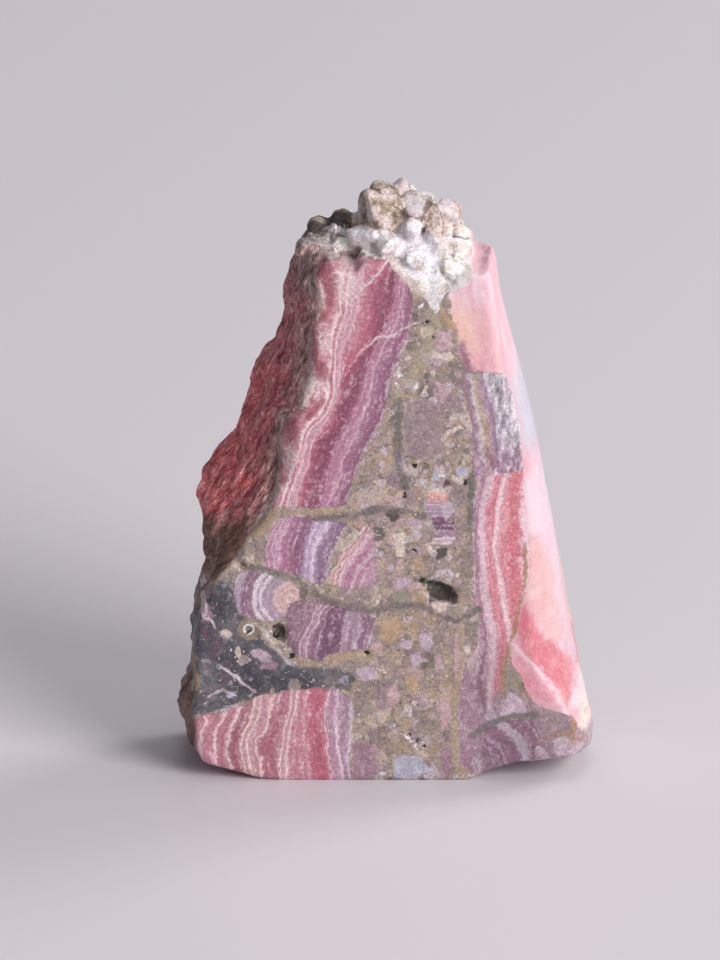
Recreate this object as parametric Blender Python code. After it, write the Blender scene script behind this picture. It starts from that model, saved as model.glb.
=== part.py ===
"""A thick slice of rhodochrosite, standing on its foot.

Frame: metres, +Z up, origin under the middle of the slice. The sawn front face looks along -Y
and the sawn back face along +Y. Everything between them is natural surface: a broken flank on the
left, a crusted crown on top, a smooth worn flank on the right and a chipped foot.

The slice is one stone, so it is one object. Its wall is lofted from the outline of the sawn face
to the outline of its widest girth, and then drawn in a little to the back. The lumps of the crown
are fused to it, and the open cavities of the sawn face are cut into it.
"""

import math
import random

import bmesh
import bpy
from mathutils import Matrix, Vector, noise

MM = 0.001

THICKNESS = 22 * MM
FRONT_Y = -THICKNESS / 2
WALL_STEP = 1.35 * MM
DEPTHS = [0, 0.5, 1.6, 3.2, 5, 7, 9, 11, 13, 15, 17, 19, 20.6, 21.6, 22]
BACK_TUCK = 0.05
TUCK_CENTRE = (0.0, 40.0)
SAW_CHIP = 0.35

# Each flank: reach is the depth of the girth behind the sawn face, fullness how round the wall
# gets there (1 is a flat chamfer), rough the height of its relief, and grain the size of that
# relief across and along the stone, all in millimetres. Each point is the x and z of the sawn
# edge, then the x and z of the girth.
BROKEN_LEFT = {
    "reach": 12.5,
    "fullness": 1.35,
    "rough": 1.05,
    "grain": (3.0, 6.5),
    "points": [
        (-27.6, 2.6, -28.4, 1.0),
        (-28.7, 10.6, -30.9, 9.2),
        (-29.5, 14.6, -30.1, 12.8),
        (-29.4, 19.4, -29.9, 18.0),
        (-29.1, 24.0, -29.5, 23.2),
        (-27.9, 29.6, -28.4, 28.0),
        (-24.3, 34.4, -27.5, 33.0),
        (-21.3, 38.2, -27.9, 39.0),
        (-17.2, 42.8, -27.8, 42.4),
        (-16.2, 48.6, -26.4, 47.2),
        (-15.5, 54.6, -23.9, 52.6),
        (-13.6, 60.4, -21.6, 58.6),
        (-11.6, 65.4, -19.0, 64.0),
        (-11.4, 70.4, -16.4, 69.0),
        (-10.7, 75.4, -15.6, 74.0),
        (-10.9, 80.2, -13.6, 80.4),
    ],
}
CRUSTED_CROWN = {
    "reach": 8.0,
    "fullness": 1.35,
    "rough": 0.95,
    "grain": (2.6, 2.6),
    "points": [
        (-9.4, 83.0, -10.9, 85.4),
        (-5.0, 83.4, -5.8, 86.6),
        (0.2, 83.0, -1.0, 88.6),
        (3.4, 80.8, 3.2, 89.4),
        (6.6, 78.8, 7.4, 88.2),
        (9.2, 78.6, 10.6, 85.8),
        (11.4, 80.8, 12.4, 83.4),
    ],
}
WORN_RIGHT = {
    "reach": 8.0,
    "fullness": 1.6,
    "rough": 0.28,
    "grain": (5.0, 16.0),
    "points": [
        (13.6, 84.2, 14.6, 84.4),
        (15.2, 80.4, 16.4, 80.4),
        (15.9, 73.4, 17.6, 72.8),
        (17.1, 65.4, 19.3, 65.0),
        (18.3, 61.4, 20.4, 60.6),
        (19.9, 55.0, 21.9, 54.2),
        (20.6, 49.6, 23.3, 47.2),
        (21.2, 41.8, 24.6, 40.0),
        (21.5, 33.8, 25.9, 32.6),
        (21.4, 25.8, 27.1, 25.8),
        (22.0, 18.6, 28.4, 18.4),
        (25.2, 12.8, 29.7, 11.8),
        (28.0, 9.4, 30.7, 7.6),
    ],
}
CHIPPED_FOOT = {
    "reach": 9.0,
    "fullness": 1.6,
    "rough": 0.45,
    "grain": (3.0, 3.0),
    "points": [
        (28.9, 5.0, 30.8, 3.4),
        (25.4, 2.6, 27.4, 1.2),
        (20.6, 1.8, 22.0, 0.2),
        (15.8, 1.0, 16.6, -0.5),
        (11.0, -0.5, 11.0, -0.9),
        (3.0, -0.6, 3.0, -0.9),
        (-5.6, -0.6, -5.6, -0.9),
        (-14.8, -0.4, -14.8, -0.9),
        (-20.4, 0.4, -21.2, -0.4),
        (-25.4, 1.5, -26.2, 0.0),
    ],
}
FLANKS = [BROKEN_LEFT, CRUSTED_CROWN, WORN_RIGHT, CHIPPED_FOOT]

# Blocky lumps of the crown: x, y, z of the middle and the half width, half depth and half height.
CROWN_LUMPS = [
    (-4.6, 0.6, 82.6, 8.0, 8.4, 4.6),
    (3.2, 0.4, 83.4, 9.0, 8.6, 5.6),
    (-1.2, -3.4, 89.0, 2.9, 2.9, 3.3),
    (0.6, -0.2, 90.7, 2.6, 2.7, 2.5),
    (3.0, 0.6, 90.6, 2.3, 2.8, 2.4),
    (4.1, -3.0, 88.8, 2.5, 2.6, 2.8),
    (6.5, -0.8, 88.6, 2.6, 2.8, 2.4),
    (9.0, 0.2, 87.0, 2.5, 2.8, 2.3),
    (10.8, 0.7, 85.6, 2.1, 2.6, 2.3),
    (12.0, -1.6, 83.2, 1.9, 2.3, 2.3),
    (10.8, -4.8, 81.6, 2.1, 2.1, 2.3),
    (7.8, -4.8, 84.4, 2.8, 2.4, 2.8),
    (4.2, -6.6, 84.4, 2.4, 2.2, 2.2),
    (0.6, -6.4, 86.2, 1.7, 1.9, 1.3),
    (-6.8, -2.2, 86.8, 2.5, 3.0, 2.5),
    (-9.8, -2.8, 85.0, 2.3, 2.8, 2.1),
    (-12.0, -3.4, 83.2, 1.9, 2.6, 2.0),
    (-4.6, 2.6, 87.6, 2.9, 2.9, 2.5),
    (-9.0, 3.4, 85.0, 2.7, 3.0, 2.4),
    (0.4, 4.8, 88.4, 2.9, 2.8, 2.6),
    (5.4, 4.2, 87.8, 2.9, 3.0, 2.5),
    (9.4, 4.8, 84.8, 2.6, 2.7, 2.5),
    (2.8, 8.0, 85.6, 2.7, 2.0, 2.4),
    (-3.6, 7.4, 85.2, 2.7, 2.3, 2.3),
    (7.8, 8.2, 83.6, 2.3, 1.8, 2.2),
    (-8.8, 8.0, 83.0, 2.2, 1.9, 2.0),
    (2.2, -8.6, 82.8, 1.5, 1.5, 1.4),
    (6.3, -8.0, 81.2, 1.6, 1.4, 1.5),
    (-6.4, -7.8, 84.2, 1.9, 1.6, 1.3),
]
LUMP_CORNERS = (13, 24)
LUMP_SQUARENESS = 0.5

# Cavities of the sawn face: x and z of the middle, half width, half height, depth and the turn in
# degrees about Y.
FACE_CAVITIES = [
    (8.2, 30.4, 2.9, 1.35, 2.4, 24.0),
    (-16.3, 23.9, 1.3, 0.9, 1.7, 35.0),
    (-14.9, 21.4, 1.7, 0.45, 1.2, 52.0),
    (-20.2, 24.2, 0.7, 0.6, 1.0, 0.0),
    (-2.8, 20.5, 0.8, 0.45, 1.1, -6.0),
    (-21.6, 34.6, 1.3, 0.6, 2.2, 28.0),
]
CAVITY_SEGMENTS = 10
CAVITY_RINGS = 6
CAVITY_RAGGEDNESS = 0.28


def clear_scene():
    for obj in list(bpy.data.objects):
        bpy.data.objects.remove(obj)


def collection(name):
    made = bpy.data.collections.new(name)
    bpy.context.scene.collection.children.link(made)
    return made


def stone_material():
    material = bpy.data.materials.new("banded_stone")
    material.use_nodes = True
    shader = material.node_tree.nodes["Principled BSDF"]
    shader.inputs["Base Color"].default_value = (0.56, 0.30, 0.34, 1)
    shader.inputs["Roughness"].default_value = 0.5
    shader.inputs["Metallic"].default_value = 0.0
    return material


def stations():
    """The points of all flanks in order round the stone, each with its flank's properties."""
    found = []
    for flank in FLANKS:
        traits = [flank["reach"], flank["fullness"], flank["rough"], *flank["grain"]]
        found += [list(point) + traits for point in flank["points"]]
    return found


def smooth_between(before, start, end, after, share):
    """The point at this share of the way from start to end, on a smooth curve through all four."""
    square, cube = share * share, share**3
    return [
        0.5 * (2 * b + (c - a) * share + (2 * a - 5 * b + 4 * c - d) * square + (3 * b - a - 3 * c + d) * cube)
        for a, b, c, d in zip(before, start, end, after, strict=True)
    ]


def wall_stations():
    """The stations at an even spacing along the sawn edge, so that the facets are of one size."""
    given = stations()
    count = len(given)
    found = []
    for i in range(count):
        before, start = given[i - 1], given[i]
        end, after = given[(i + 1) % count], given[(i + 2) % count]
        length = math.hypot(end[2] - start[2], end[3] - start[3])
        steps = max(1, round(length * MM / WALL_STEP))
        found += [smooth_between(before, start, end, after, k / steps) for k in range(steps)]
    return found


def relief(x, y, z, across, along):
    """Height of the broken surface, about -1 to 1: ridges that run along the stone."""
    place = Vector((x / across, y / across, z / along))
    ridges = noise.fractal(place, 0.9, 2.1, 4)
    slabs = noise.cell(Vector((x / across, y / across, 0.6 * z / along))) - 0.5
    return ridges + 0.5 * slabs


def wall_point(station, depth):
    """The wall's point at this station and depth behind the sawn face, in millimetres."""
    face_x, face_z, girth_x, girth_z, reach, fullness, rough, across, along = station
    out = 1 - (1 - min(depth / reach, 1)) ** fullness
    x = face_x + (girth_x - face_x) * out
    z = face_z + (girth_z - face_z) * out
    behind = max(0.0, depth - reach) / (THICKNESS / MM - reach)
    x += (TUCK_CENTRE[0] - x) * BACK_TUCK * behind**2
    z += (TUCK_CENTRE[1] - z) * BACK_TUCK * behind**2 * (1 if z > TUCK_CENTRE[1] else 0)
    away = Vector((x - TUCK_CENTRE[0], 0.45 * (z - TUCK_CENTRE[1]))).normalized()
    edge = min(depth, THICKNESS / MM - depth)
    held = 0.3 + 0.7 * min(1.0, edge / 2.5)
    height = rough * held * relief(x, depth, z, across, along)
    chip = SAW_CHIP * max(0.0, 1 - edge / 0.5)
    x += away.x * (height - chip)
    z += away.y * (height - chip)
    return x, max(z, 0.0)


def stone_body(material):
    """The wall lofted row by row, closed by the two flat sawn faces."""
    bm = bmesh.new()
    around = wall_stations()
    rows = []
    for depth in DEPTHS:
        row = []
        for station in around:
            x, z = wall_point(station, depth)
            row.append(bm.verts.new((x * MM, FRONT_Y + depth * MM, z * MM)))
        rows.append(row)
    count = len(around)
    for near, far in zip(rows, rows[1:], strict=False):
        for i in range(count):
            j = (i + 1) % count
            bm.faces.new((near[i], near[j], far[j], far[i]))
    bm.faces.new(list(reversed(rows[0])))
    bm.faces.new(rows[-1])
    bmesh.ops.recalc_face_normals(bm, faces=bm.faces)
    bmesh.ops.triangulate(bm, faces=bm.faces, quad_method="ALTERNATE", ngon_method="BEAUTY")
    mesh = bpy.data.meshes.new("rhodochrosite_slice")
    bm.to_mesh(mesh)
    bm.free()
    mesh.materials.append(material)
    return bpy.data.objects.new("rhodochrosite_slice", mesh)


def crystal_lump(name, lump, seed):
    """A blocky, flat-faced lump: the hull of points spread over a squared ball."""
    rng = random.Random(seed)
    x, y, z, half_width, half_depth, half_height = lump
    corners = rng.randint(*LUMP_CORNERS)
    bm = bmesh.new()
    for k in range(corners):
        height = 1 - 2 * (k + 0.5) / corners
        turn = k * math.pi * (3 - math.sqrt(5)) + rng.uniform(-0.35, 0.35)
        ring = math.sqrt(1 - height * height)
        point = Vector((ring * math.cos(turn), ring * math.sin(turn), height))
        longest = max(abs(c) for c in point)
        point *= (1 - LUMP_SQUARENESS) + LUMP_SQUARENESS / longest
        point *= rng.uniform(0.86, 1.04)
        bm.verts.new((point.x * half_width * MM, point.y * half_depth * MM, point.z * half_height * MM))
    hull = bmesh.ops.convex_hull(bm, input=bm.verts)
    inner = [v for v in hull["geom_interior"] if isinstance(v, bmesh.types.BMVert)]
    bmesh.ops.delete(bm, geom=inner, context="VERTS")
    lean = Matrix.Rotation(rng.uniform(-0.5, 0.5), 4, "X") @ Matrix.Rotation(rng.uniform(0, math.pi), 4, "Z")
    bmesh.ops.transform(bm, matrix=lean, verts=bm.verts)
    bmesh.ops.recalc_face_normals(bm, faces=bm.faces)
    mesh = bpy.data.meshes.new(name)
    bm.to_mesh(mesh)
    bm.free()
    made = bpy.data.objects.new(name, mesh)
    made.location = (x * MM, y * MM, z * MM)
    return made


def cavity_cutter(name, cavity, seed):
    """A ragged ball that leaves an open cavity in the sawn face."""
    x, z, half_width, half_height, depth, turn = cavity
    bm = bmesh.new()
    bmesh.ops.create_uvsphere(bm, u_segments=CAVITY_SEGMENTS, v_segments=CAVITY_RINGS, radius=1)
    for vert in bm.verts:
        ragged = 1 + CAVITY_RAGGEDNESS * noise.noise(vert.co * 1.7 + Vector((seed * 7.1, 0, 0)))
        vert.co = Vector((vert.co.x * half_width, vert.co.y * depth, vert.co.z * half_height)) * ragged * MM
    mesh = bpy.data.meshes.new(name)
    bm.to_mesh(mesh)
    bm.free()
    made = bpy.data.objects.new(name, mesh)
    made.location = (x * MM, FRONT_Y, z * MM)
    made.rotation_euler = (0, math.radians(turn), 0)
    return made


def as_helper(obj, helpers):
    obj.hide_render = True
    obj.display_type = "WIRE"
    helpers.objects.link(obj)


def boolean(obj, name, operation, helpers):
    modifier = obj.modifiers.new(name, "BOOLEAN")
    modifier.operation = operation
    modifier.operand_type = "COLLECTION"
    modifier.collection = helpers
    modifier.solver = "EXACT"


def centre_on_origin(obj, helpers):
    """Moves the stone and its helpers so that the middle of the stone's box is over the origin."""
    bpy.context.view_layer.update()
    evaluated = obj.evaluated_get(bpy.context.evaluated_depsgraph_get())
    corners = [Vector(corner) for corner in evaluated.bound_box]
    middle_x = (min(c.x for c in corners) + max(c.x for c in corners)) / 2
    middle_y = (min(c.y for c in corners) + max(c.y for c in corners)) / 2
    for moved in [obj, *helpers]:
        moved.location -= Vector((middle_x, middle_y, 0))


def main():
    clear_scene()
    stones = collection("rhodochrosite slice")
    lumps = collection("crown lumps")
    cutters = collection("cavity cutters")
    stone = stone_body(stone_material())
    stones.objects.link(stone)
    for i, lump in enumerate(CROWN_LUMPS):
        as_helper(crystal_lump(f"crown_lump_{i}", lump, seed=i), lumps)
    for i, cavity in enumerate(FACE_CAVITIES):
        as_helper(cavity_cutter(f"cavity_{i}", cavity, seed=i), cutters)
    boolean(stone, "fuse crown", "UNION", lumps)
    boolean(stone, "open cavities", "DIFFERENCE", cutters)
    centre_on_origin(stone, [*lumps.objects, *cutters.objects])


main()
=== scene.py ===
"""The looks of a standing slice of banded rhodochrosite.

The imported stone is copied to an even, fine grid, its broken flank and crusted crown get their
relief, and one material paints the whole stone: pink and mauve banded fragments in grey and tan
breccia, with veins, pits and crystals. Every marking is an outline or a line given in millimetres
on the sawn front face (x to the right, z up). The markings run on through the stone, so that the
flanks and the back show them too.
"""

import math

import bmesh
import bpy
import numpy as np
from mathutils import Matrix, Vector


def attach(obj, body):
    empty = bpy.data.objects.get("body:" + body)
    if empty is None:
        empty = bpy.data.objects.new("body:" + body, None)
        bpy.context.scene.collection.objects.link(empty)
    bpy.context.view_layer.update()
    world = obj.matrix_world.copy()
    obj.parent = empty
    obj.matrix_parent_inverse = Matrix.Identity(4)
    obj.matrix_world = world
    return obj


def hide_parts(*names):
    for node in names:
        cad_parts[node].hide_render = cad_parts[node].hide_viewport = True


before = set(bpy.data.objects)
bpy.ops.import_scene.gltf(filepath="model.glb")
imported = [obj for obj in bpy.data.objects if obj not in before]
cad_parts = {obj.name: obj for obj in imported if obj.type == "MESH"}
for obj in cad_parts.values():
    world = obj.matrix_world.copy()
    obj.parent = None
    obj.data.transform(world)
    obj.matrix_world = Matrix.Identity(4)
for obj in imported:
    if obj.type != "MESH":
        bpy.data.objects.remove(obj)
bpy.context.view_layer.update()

MM = 0.001
NODE = "rhodochrosite_slice"
NAME = "rhodochrosite_stone"
SLOT = "banded_stone"

# The stone's mesh, in millimetres
GRID = 0.41
FRONT_Y = -11.0
THICKNESS = 22.0
# How far from a marking the distance to it is worked out
REACH = 3.0
# Steps of the fixed random numbers
LATTICE_STEPS = (73856093, 19349663, 83492791)
SEED_STEP = 2654435

# Moves to the outline in front view: height and shift of the left and of the right flank, then x
# and lift of the crown and of the foot
CAMERA_TILT = math.radians(20)
LEFT_MOVES = [
    (0, 0), (6, -0.3), (10, -0.3), (13.5, 0.6), (17.5, 0.9), (21, 0.7), (25, 0.4), (28, 0.5), (31, 0.7),
    (33.5, 0.2), (36, 0), (42, -0.1), (46, 0.5), (50, 2.3), (54, 2.2), (57, 1.2), (62, 1.1), (66, 1.4),
    (70, 1), (75, 0.5), (79, 0.9), (84, 1), (92, 0.6),
]
RIGHT_MOVES = [(0, 0.5), (12, 0.7), (30, 0.5), (60, 0.4), (80, 0.2), (92, 0)]
CROWN_DROPS = [
    (-15, -0.8), (-12.5, -1.2), (-11, -2.6), (-8, -2.8), (-6.6, -4.4), (-4.4, -4.6), (-3.4, -2.6),
    (0, -2.6), (3, -3), (5, -3.2), (8, -2.6), (9.2, -1.6), (11, -1.8), (12.2, -3.8), (13.5, -5.4),
    (15, -5.4), (15.8, -3), (16.6, -0.4),
]
FOOT_LIFTS = [
    (-30, 1.2), (-28, 1.8), (-26, 1.3), (-23.5, 0.8), (-20, 0.3), (-17, 0), (12.5, 0), (15, 0.9),
    (17, 1.3), (20, 1.7), (22.5, 1.8), (24.5, 1.9), (26, 1.4), (28, 0.4), (31, 0.2),
]
FOOT_RANGE = 5.0
CROWN_START = 79.5
CROWN_RANGE = 8.0
# The greatest height at which the camera sees the right shoulder, by x
SHOULDER_CAP = [(12.6, 99), (13.3, 86.5), (15.5, 86.1), (16.4, 85.2), (17.2, 81.5), (17.5, 99)]
SHOULDER_ABOVE = 72.0

# How the markings lean and wander on their way through the stone
SHEAR = (-0.12, 0.08)
THROUGH_SWAY = 2.2
SWAY_SIZES = (17.0, 19.0)

# Relief: heights of ridges and of grains, of the waves, of crumbs and of grains, and the pits
LEFT_RELIEF = (0.38, 0.14)
RIGHT_RELIEF = 0.10
CRUST_RELIEF = (0.34, 0.18)
PIT_DEPTH = 0.5
# No relief this close to the edge of a sawn face, and how wide it then takes to rise in full
EDGE_KEPT = 0.25
EDGE_RISE = 1.6
KNOB_SMOOTHING = 0.72
KNOBS_ABOVE = 74.0
KNOB_ROOT = 4.0

# The material: steps between the fragments on the palette, and how far the bands fray and sway
PALETTE_STEP = 16.0
BAND_JAG = 0.31
BAND_SWAY = 0.24
MOST_STOPS = 30
FINEST = 0.12
TIE = 1e-7
BUMP_STRENGTH = 0.5
BUMP_DISTANCE = 0.0002

# The skin's layout, in texture pixels: for each chart the axis, start and scale of both sides
LAYOUT_SIZE = 1024
LAYOUT_ORIGIN = (32.5, 12.0, 0.5)
LAYOUT_CHARTS = [
    ((2, 4, 7.2), (1, 716, 5.9)),
    ((2, 4, 7.2), (1, 868, 5.9)),
    ((0, 4, 7.2), (2, 4, 7.2)),
    ((0, 482, 6.0), (2, 4, 6.0)),
    ((1, 882, 5.6), (0, 443, 4.0)),
    ((1, 882, 5.6), (0, 4, 6.6)),
]

# Floor, light and sky, in metres
FLOOR_HALF = 3.0
FLOOR_COLOUR = (0.76, 0.72, 0.76, 1)
FLOOR_ROUGHNESS = 0.55
LIGHT_AIM = (0, 0, 0.04)
SOFT_LIGHTS = [
    ("key_light", (1.45, -1.45, 1.05), 1.4, 48.0, (1.0, 0.985, 0.97)),
    ("rim_light", (1.10, 0.60, 0.80), 0.7, 7.0, (1.0, 0.99, 0.98)),
    ("top_light", (0.20, 0.10, 1.60), 0.9, 4.0, (1.0, 1.0, 1.0)),
]
SKY_COLOUR = (0.94, 0.93, 1.0, 1)
SKY_STRENGTH = 0.20

# The camera looks CAMERA_TILT down at the sawn face. Its axis meets the face at AXIS_POINT, given in
# millimetres, and the frame is VIEW_HEIGHT metres high there.
AXIS_POINT = (-3.68, FRONT_Y, 48.3)
CAMERA_DISTANCE = 2.5
VIEW_HEIGHT = 0.144
SENSOR = 36.0
CLIP_START = 0.01

# The banded fragments: outlines, and the lines that their bands follow, from left to right

L_COLOUR = [
    (-10.3, 83.2), (-10.6, 81.3), (-10.1, 78.2), (-9.8, 75.4), (-10.3, 73.6), (-11.2, 72), (-11.5, 70.4),
    (-11.3, 68), (-11.5, 66.2), (-12.2, 63.8), (-12.7, 61.4), (-12.7, 59.5), (-14.5, 58.2), (-15.4, 56.8),
    (-15.8, 55.2), (-16.1, 53), (-16.3, 49.6), (-16.6, 47.2), (-17.5, 44.6), (-18.4, 42.9), (-19.9, 41.1),
    (-21.2, 37.9), (-23.5, 34.4), (-26.8, 30.7), (-28.4, 26.7),
]
A_OUTLINE = [
    (-10, 83.2), (-8.2, 82.6), (-5.9, 82.2), (-4.9, 83), (0.1, 83), (2, 81), (3.4, 79.4), (4.3, 76.6),
    (4, 73.1), (3.7, 71), (2.8, 68.8), (1.9, 66.2), (0.8, 64.2), (0.4, 61.1), (-0.5, 57.3), (-2.3, 54.6),
    (-3.4, 52.2), (-4.3, 49.6), (-5, 47.2), (-5.6, 44.5), (-8.2, 44), (-10.9, 43.7), (-13.4, 44),
    (-16, 43.7), (-18.1, 42.9), (-16.7, 44.6), (-15.8, 47.2), (-15.8, 49.6), (-15.7, 53), (-15.5, 55.2),
    (-15.1, 56.8), (-14.3, 58.6), (-12.1, 59.5), (-12.4, 61.4), (-12.1, 63.8), (-11.2, 66.2), (-11, 68),
    (-11.2, 70.4), (-11, 72), (-10, 73.6), (-9.5, 75.4), (-9.8, 78.2), (-10.4, 81.3),
]
A_LINES = [
    [
        (-5.8, 83.2), (-5.8, 82.1), (-6.2, 79.4), (-6.5, 77), (-6.7, 74.6), (-7.4, 72.6), (-7.9, 71.2),
        (-8, 69.6), (-8, 66.4), (-8.3, 64.6), (-8.2, 63), (-8.5, 61.3), (-9.2, 60), (-9.7, 58.6),
        (-11, 57.6), (-11.9, 56.2), (-12.5, 54.6), (-12.7, 53), (-13.1, 51.2), (-13.9, 49.6), (-14.2, 48),
        (-14.8, 46.7), (-15.2, 45.1), (-15.8, 43.8), (-16.9, 41.9),
    ],
    [
        (-5.2, 83.2), (-5.2, 82.1), (-5.5, 79.4), (-5.8, 76.6), (-5.9, 74.6), (-6.5, 72.8), (-7.1, 71.2),
        (-7.4, 69.1), (-7.4, 65.1), (-7.6, 63.5), (-7.4, 62.4), (-8, 60.6), (-8.6, 58.9), (-9.8, 57.4),
        (-11, 56.6), (-11.8, 55), (-11.9, 53), (-12.5, 50.4), (-13.4, 48.3), (-14.2, 46.1), (-14.8, 44),
        (-15.7, 41.9),
    ],
    [
        (-2.8, 83.2), (-3.4, 78.7), (-4.1, 75.5), (-5, 72), (-5.9, 70.4), (-6.4, 68.8), (-6.7, 63.4),
        (-7, 61.1), (-7.7, 59.5), (-8.6, 57.6), (-10, 56.2), (-11, 53.8), (-11.3, 50.4), (-12.4, 48),
        (-13, 45.9), (-13.1, 43.8), (-13.9, 41.9),
    ],
    [
        (0.5, 83.2), (-0.1, 79.5), (-1, 75.5), (-1.4, 72.3), (-2, 69.9), (-3.8, 68), (-5, 65.9),
        (-6.2, 64.2), (-6.7, 61.9), (-7.6, 59.4), (-7.3, 57.8), (-8.2, 56.3), (-9.4, 55.2), (-10.4, 54.4),
        (-11, 52.3), (-11.3, 49.9), (-11.8, 48), (-12.2, 45.1), (-12.7, 41.9),
    ],
    [
        (2, 83.2), (1.4, 78.7), (1.1, 75.5), (0.2, 72.6), (-1.3, 69.9), (-2.2, 68), (-2.8, 65.6),
        (-3.5, 62.7), (-3.8, 61.4), (-4.6, 59.7), (-5.2, 57.8), (-6.1, 55.4), (-7.3, 53), (-8, 50.4),
        (-8.9, 48), (-9.5, 44.8), (-10.3, 41.9),
    ],
    [
        (3.5, 83.2), (2.9, 78.7), (2.3, 75.5), (1.4, 72.3), (-0.1, 69.4), (-1, 67.5), (-1.9, 64.6),
        (-2, 62.4), (-2.8, 59.4), (-4.1, 57), (-5, 54.6), (-5.5, 52.5), (-6.4, 51.4), (-6.4, 49.6),
        (-7.4, 47.2), (-8.3, 44.8), (-8.9, 41.9),
    ],
    [
        (5.3, 83.2), (4.9, 78.7), (4.4, 75.5), (4, 73), (3.5, 70.7), (2.8, 68.8), (1.9, 66.2),
        (0.8, 64.2), (0.4, 61.1), (-0.5, 57.3), (-2.3, 54.6), (-3.4, 52.2), (-4.3, 49.6), (-5, 47.2),
        (-5.6, 44.5), (-6.2, 41.9),
    ],
]
B_OUTLINE = [
    (-16.4, 41.6), (-14.3, 42.4), (-9.8, 42.1), (-5.6, 41.4), (-6.4, 39.7), (-7.4, 37.4), (-8.3, 36),
    (-8.2, 34.1), (-8.8, 32.3), (-9.5, 31.4), (-10.9, 31.8), (-12.2, 32.6), (-14.3, 33.3), (-16.1, 33.8),
    (-17.6, 33.8), (-17.8, 35.2), (-17.9, 37.3), (-17.5, 39),
]
B_LINES = [
    [(-15.8, 42.4), (-16.1, 41.3), (-17.2, 39), (-17.8, 37.3), (-17.3, 34.9), (-17.5, 33)],
    [(-14.9, 42.4), (-15.2, 41.6), (-16.4, 39), (-16.9, 37.3), (-16.6, 35.2), (-16.7, 33)],
    [(-13.9, 42.4), (-14.3, 41.6), (-15.5, 39), (-16, 37.3), (-16.1, 34.1), (-16.3, 33)],
    [(-12.1, 42.4), (-12.5, 41.3), (-13.3, 39), (-14, 37.3), (-14, 34.1), (-14.2, 32.3)],
    [(-10.4, 42.4), (-11, 41.3), (-11.8, 39), (-12.2, 37.3), (-12.4, 35.2), (-12.7, 32.3)],
    [(-8, 42.4), (-8.9, 41), (-10, 39), (-10.6, 37.3), (-10.9, 35.2), (-10.7, 31)],
    [(-5.2, 42.4), (-5.6, 41.3), (-6.5, 39.5), (-7.4, 37.4), (-8.3, 36), (-8.2, 34.1), (-9.2, 31)],
]
C_OUTLINE = [
    (-2.9, 41.3), (-2.2, 41), (-1.6, 39.8), (-1.4, 36.8), (-1.1, 33.9), (-1.3, 31.5), (-4, 31),
    (-6.7, 31), (-8, 31.5), (-8, 33.8), (-7.1, 35.2), (-5.8, 37.3), (-4, 39.7),
]
C_EDGE = [(-1.9, 42.2), (-2.9, 41.1), (-4, 39.7), (-5.8, 37.3), (-7.1, 35.2), (-8, 33.8), (-8.6, 30.7)]
D_OUTLINE = [
    (-22.3, 33.1), (-20.2, 33.8), (-17.8, 33.4), (-15.7, 32.5), (-13.7, 31.7), (-12.7, 31), (-12.7, 29.4),
    (-14.3, 28.6), (-14.9, 26.9), (-16.3, 25.6), (-18.1, 25.6), (-20.3, 26.1), (-21.5, 26.7),
    (-22.3, 27.7), (-22.7, 30.4),
]
E_OUTLINE = [
    (-14.5, 28.5), (-12.8, 29.1), (-9.2, 29.4), (-8, 28.6), (-5.2, 27.5), (-3.2, 27), (-1.1, 26.2),
    (-1.6, 24.5), (-1.9, 22.6), (-2.6, 21.3), (-5.2, 21.1), (-6.7, 20.8), (-8.2, 20.3), (-9.7, 19.5),
    (-11.5, 19.7), (-13.1, 20), (-14.6, 21.6), (-14.9, 23.5), (-14.8, 25.9),
]
E_LINES = [
    [
        (-9.1, 30.1), (-9.4, 28.2), (-10.6, 27), (-11, 25.3), (-11.8, 24), (-12.4, 22.9), (-12.7, 21.6),
        (-12.7, 19.2),
    ],
    [
        (-8.2, 30.1), (-8.5, 28.2), (-9.8, 27), (-10, 25.3), (-10.9, 24), (-11.5, 22.6), (-11.8, 21.3),
        (-11.9, 19.2),
    ],
    [(-7.3, 30.1), (-7.6, 28.2), (-8.8, 27), (-8.9, 25.3), (-9.7, 23.7), (-9.8, 22.1), (-10.3, 19.2)],
    [(-4.9, 30.1), (-5.2, 28.2), (-5.6, 26.6), (-5.9, 24.8), (-6.2, 23.2), (-6.5, 21.3), (-6.8, 19.2)],
    [(-2.8, 30.1), (-3.2, 28.2), (-3.8, 25.9), (-4, 24), (-4.3, 22.1), (-4.6, 19.2)],
    [(-0.1, 30.1), (-0.7, 28.2), (-1.1, 26.2), (-1.7, 24.5), (-2, 22.6), (-2.6, 21.1), (-3.1, 19.2)],
]
I_OUTLINE = [
    (-29, 9.9), (-27.8, 10.2), (-26.6, 10.7), (-24.5, 11), (-22.1, 11.8), (-20.5, 12.3), (-19.7, 13.4),
    (-16.9, 13.9), (-14.3, 14.6), (-8.9, 15), (-6.7, 14.6), (-4.9, 13.1), (-4.6, 11), (-4.7, 7.2),
    (-5.2, 3.4), (-4.9, -1.3), (-29.2, -1.3), (-29.8, 6.7),
]
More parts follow.
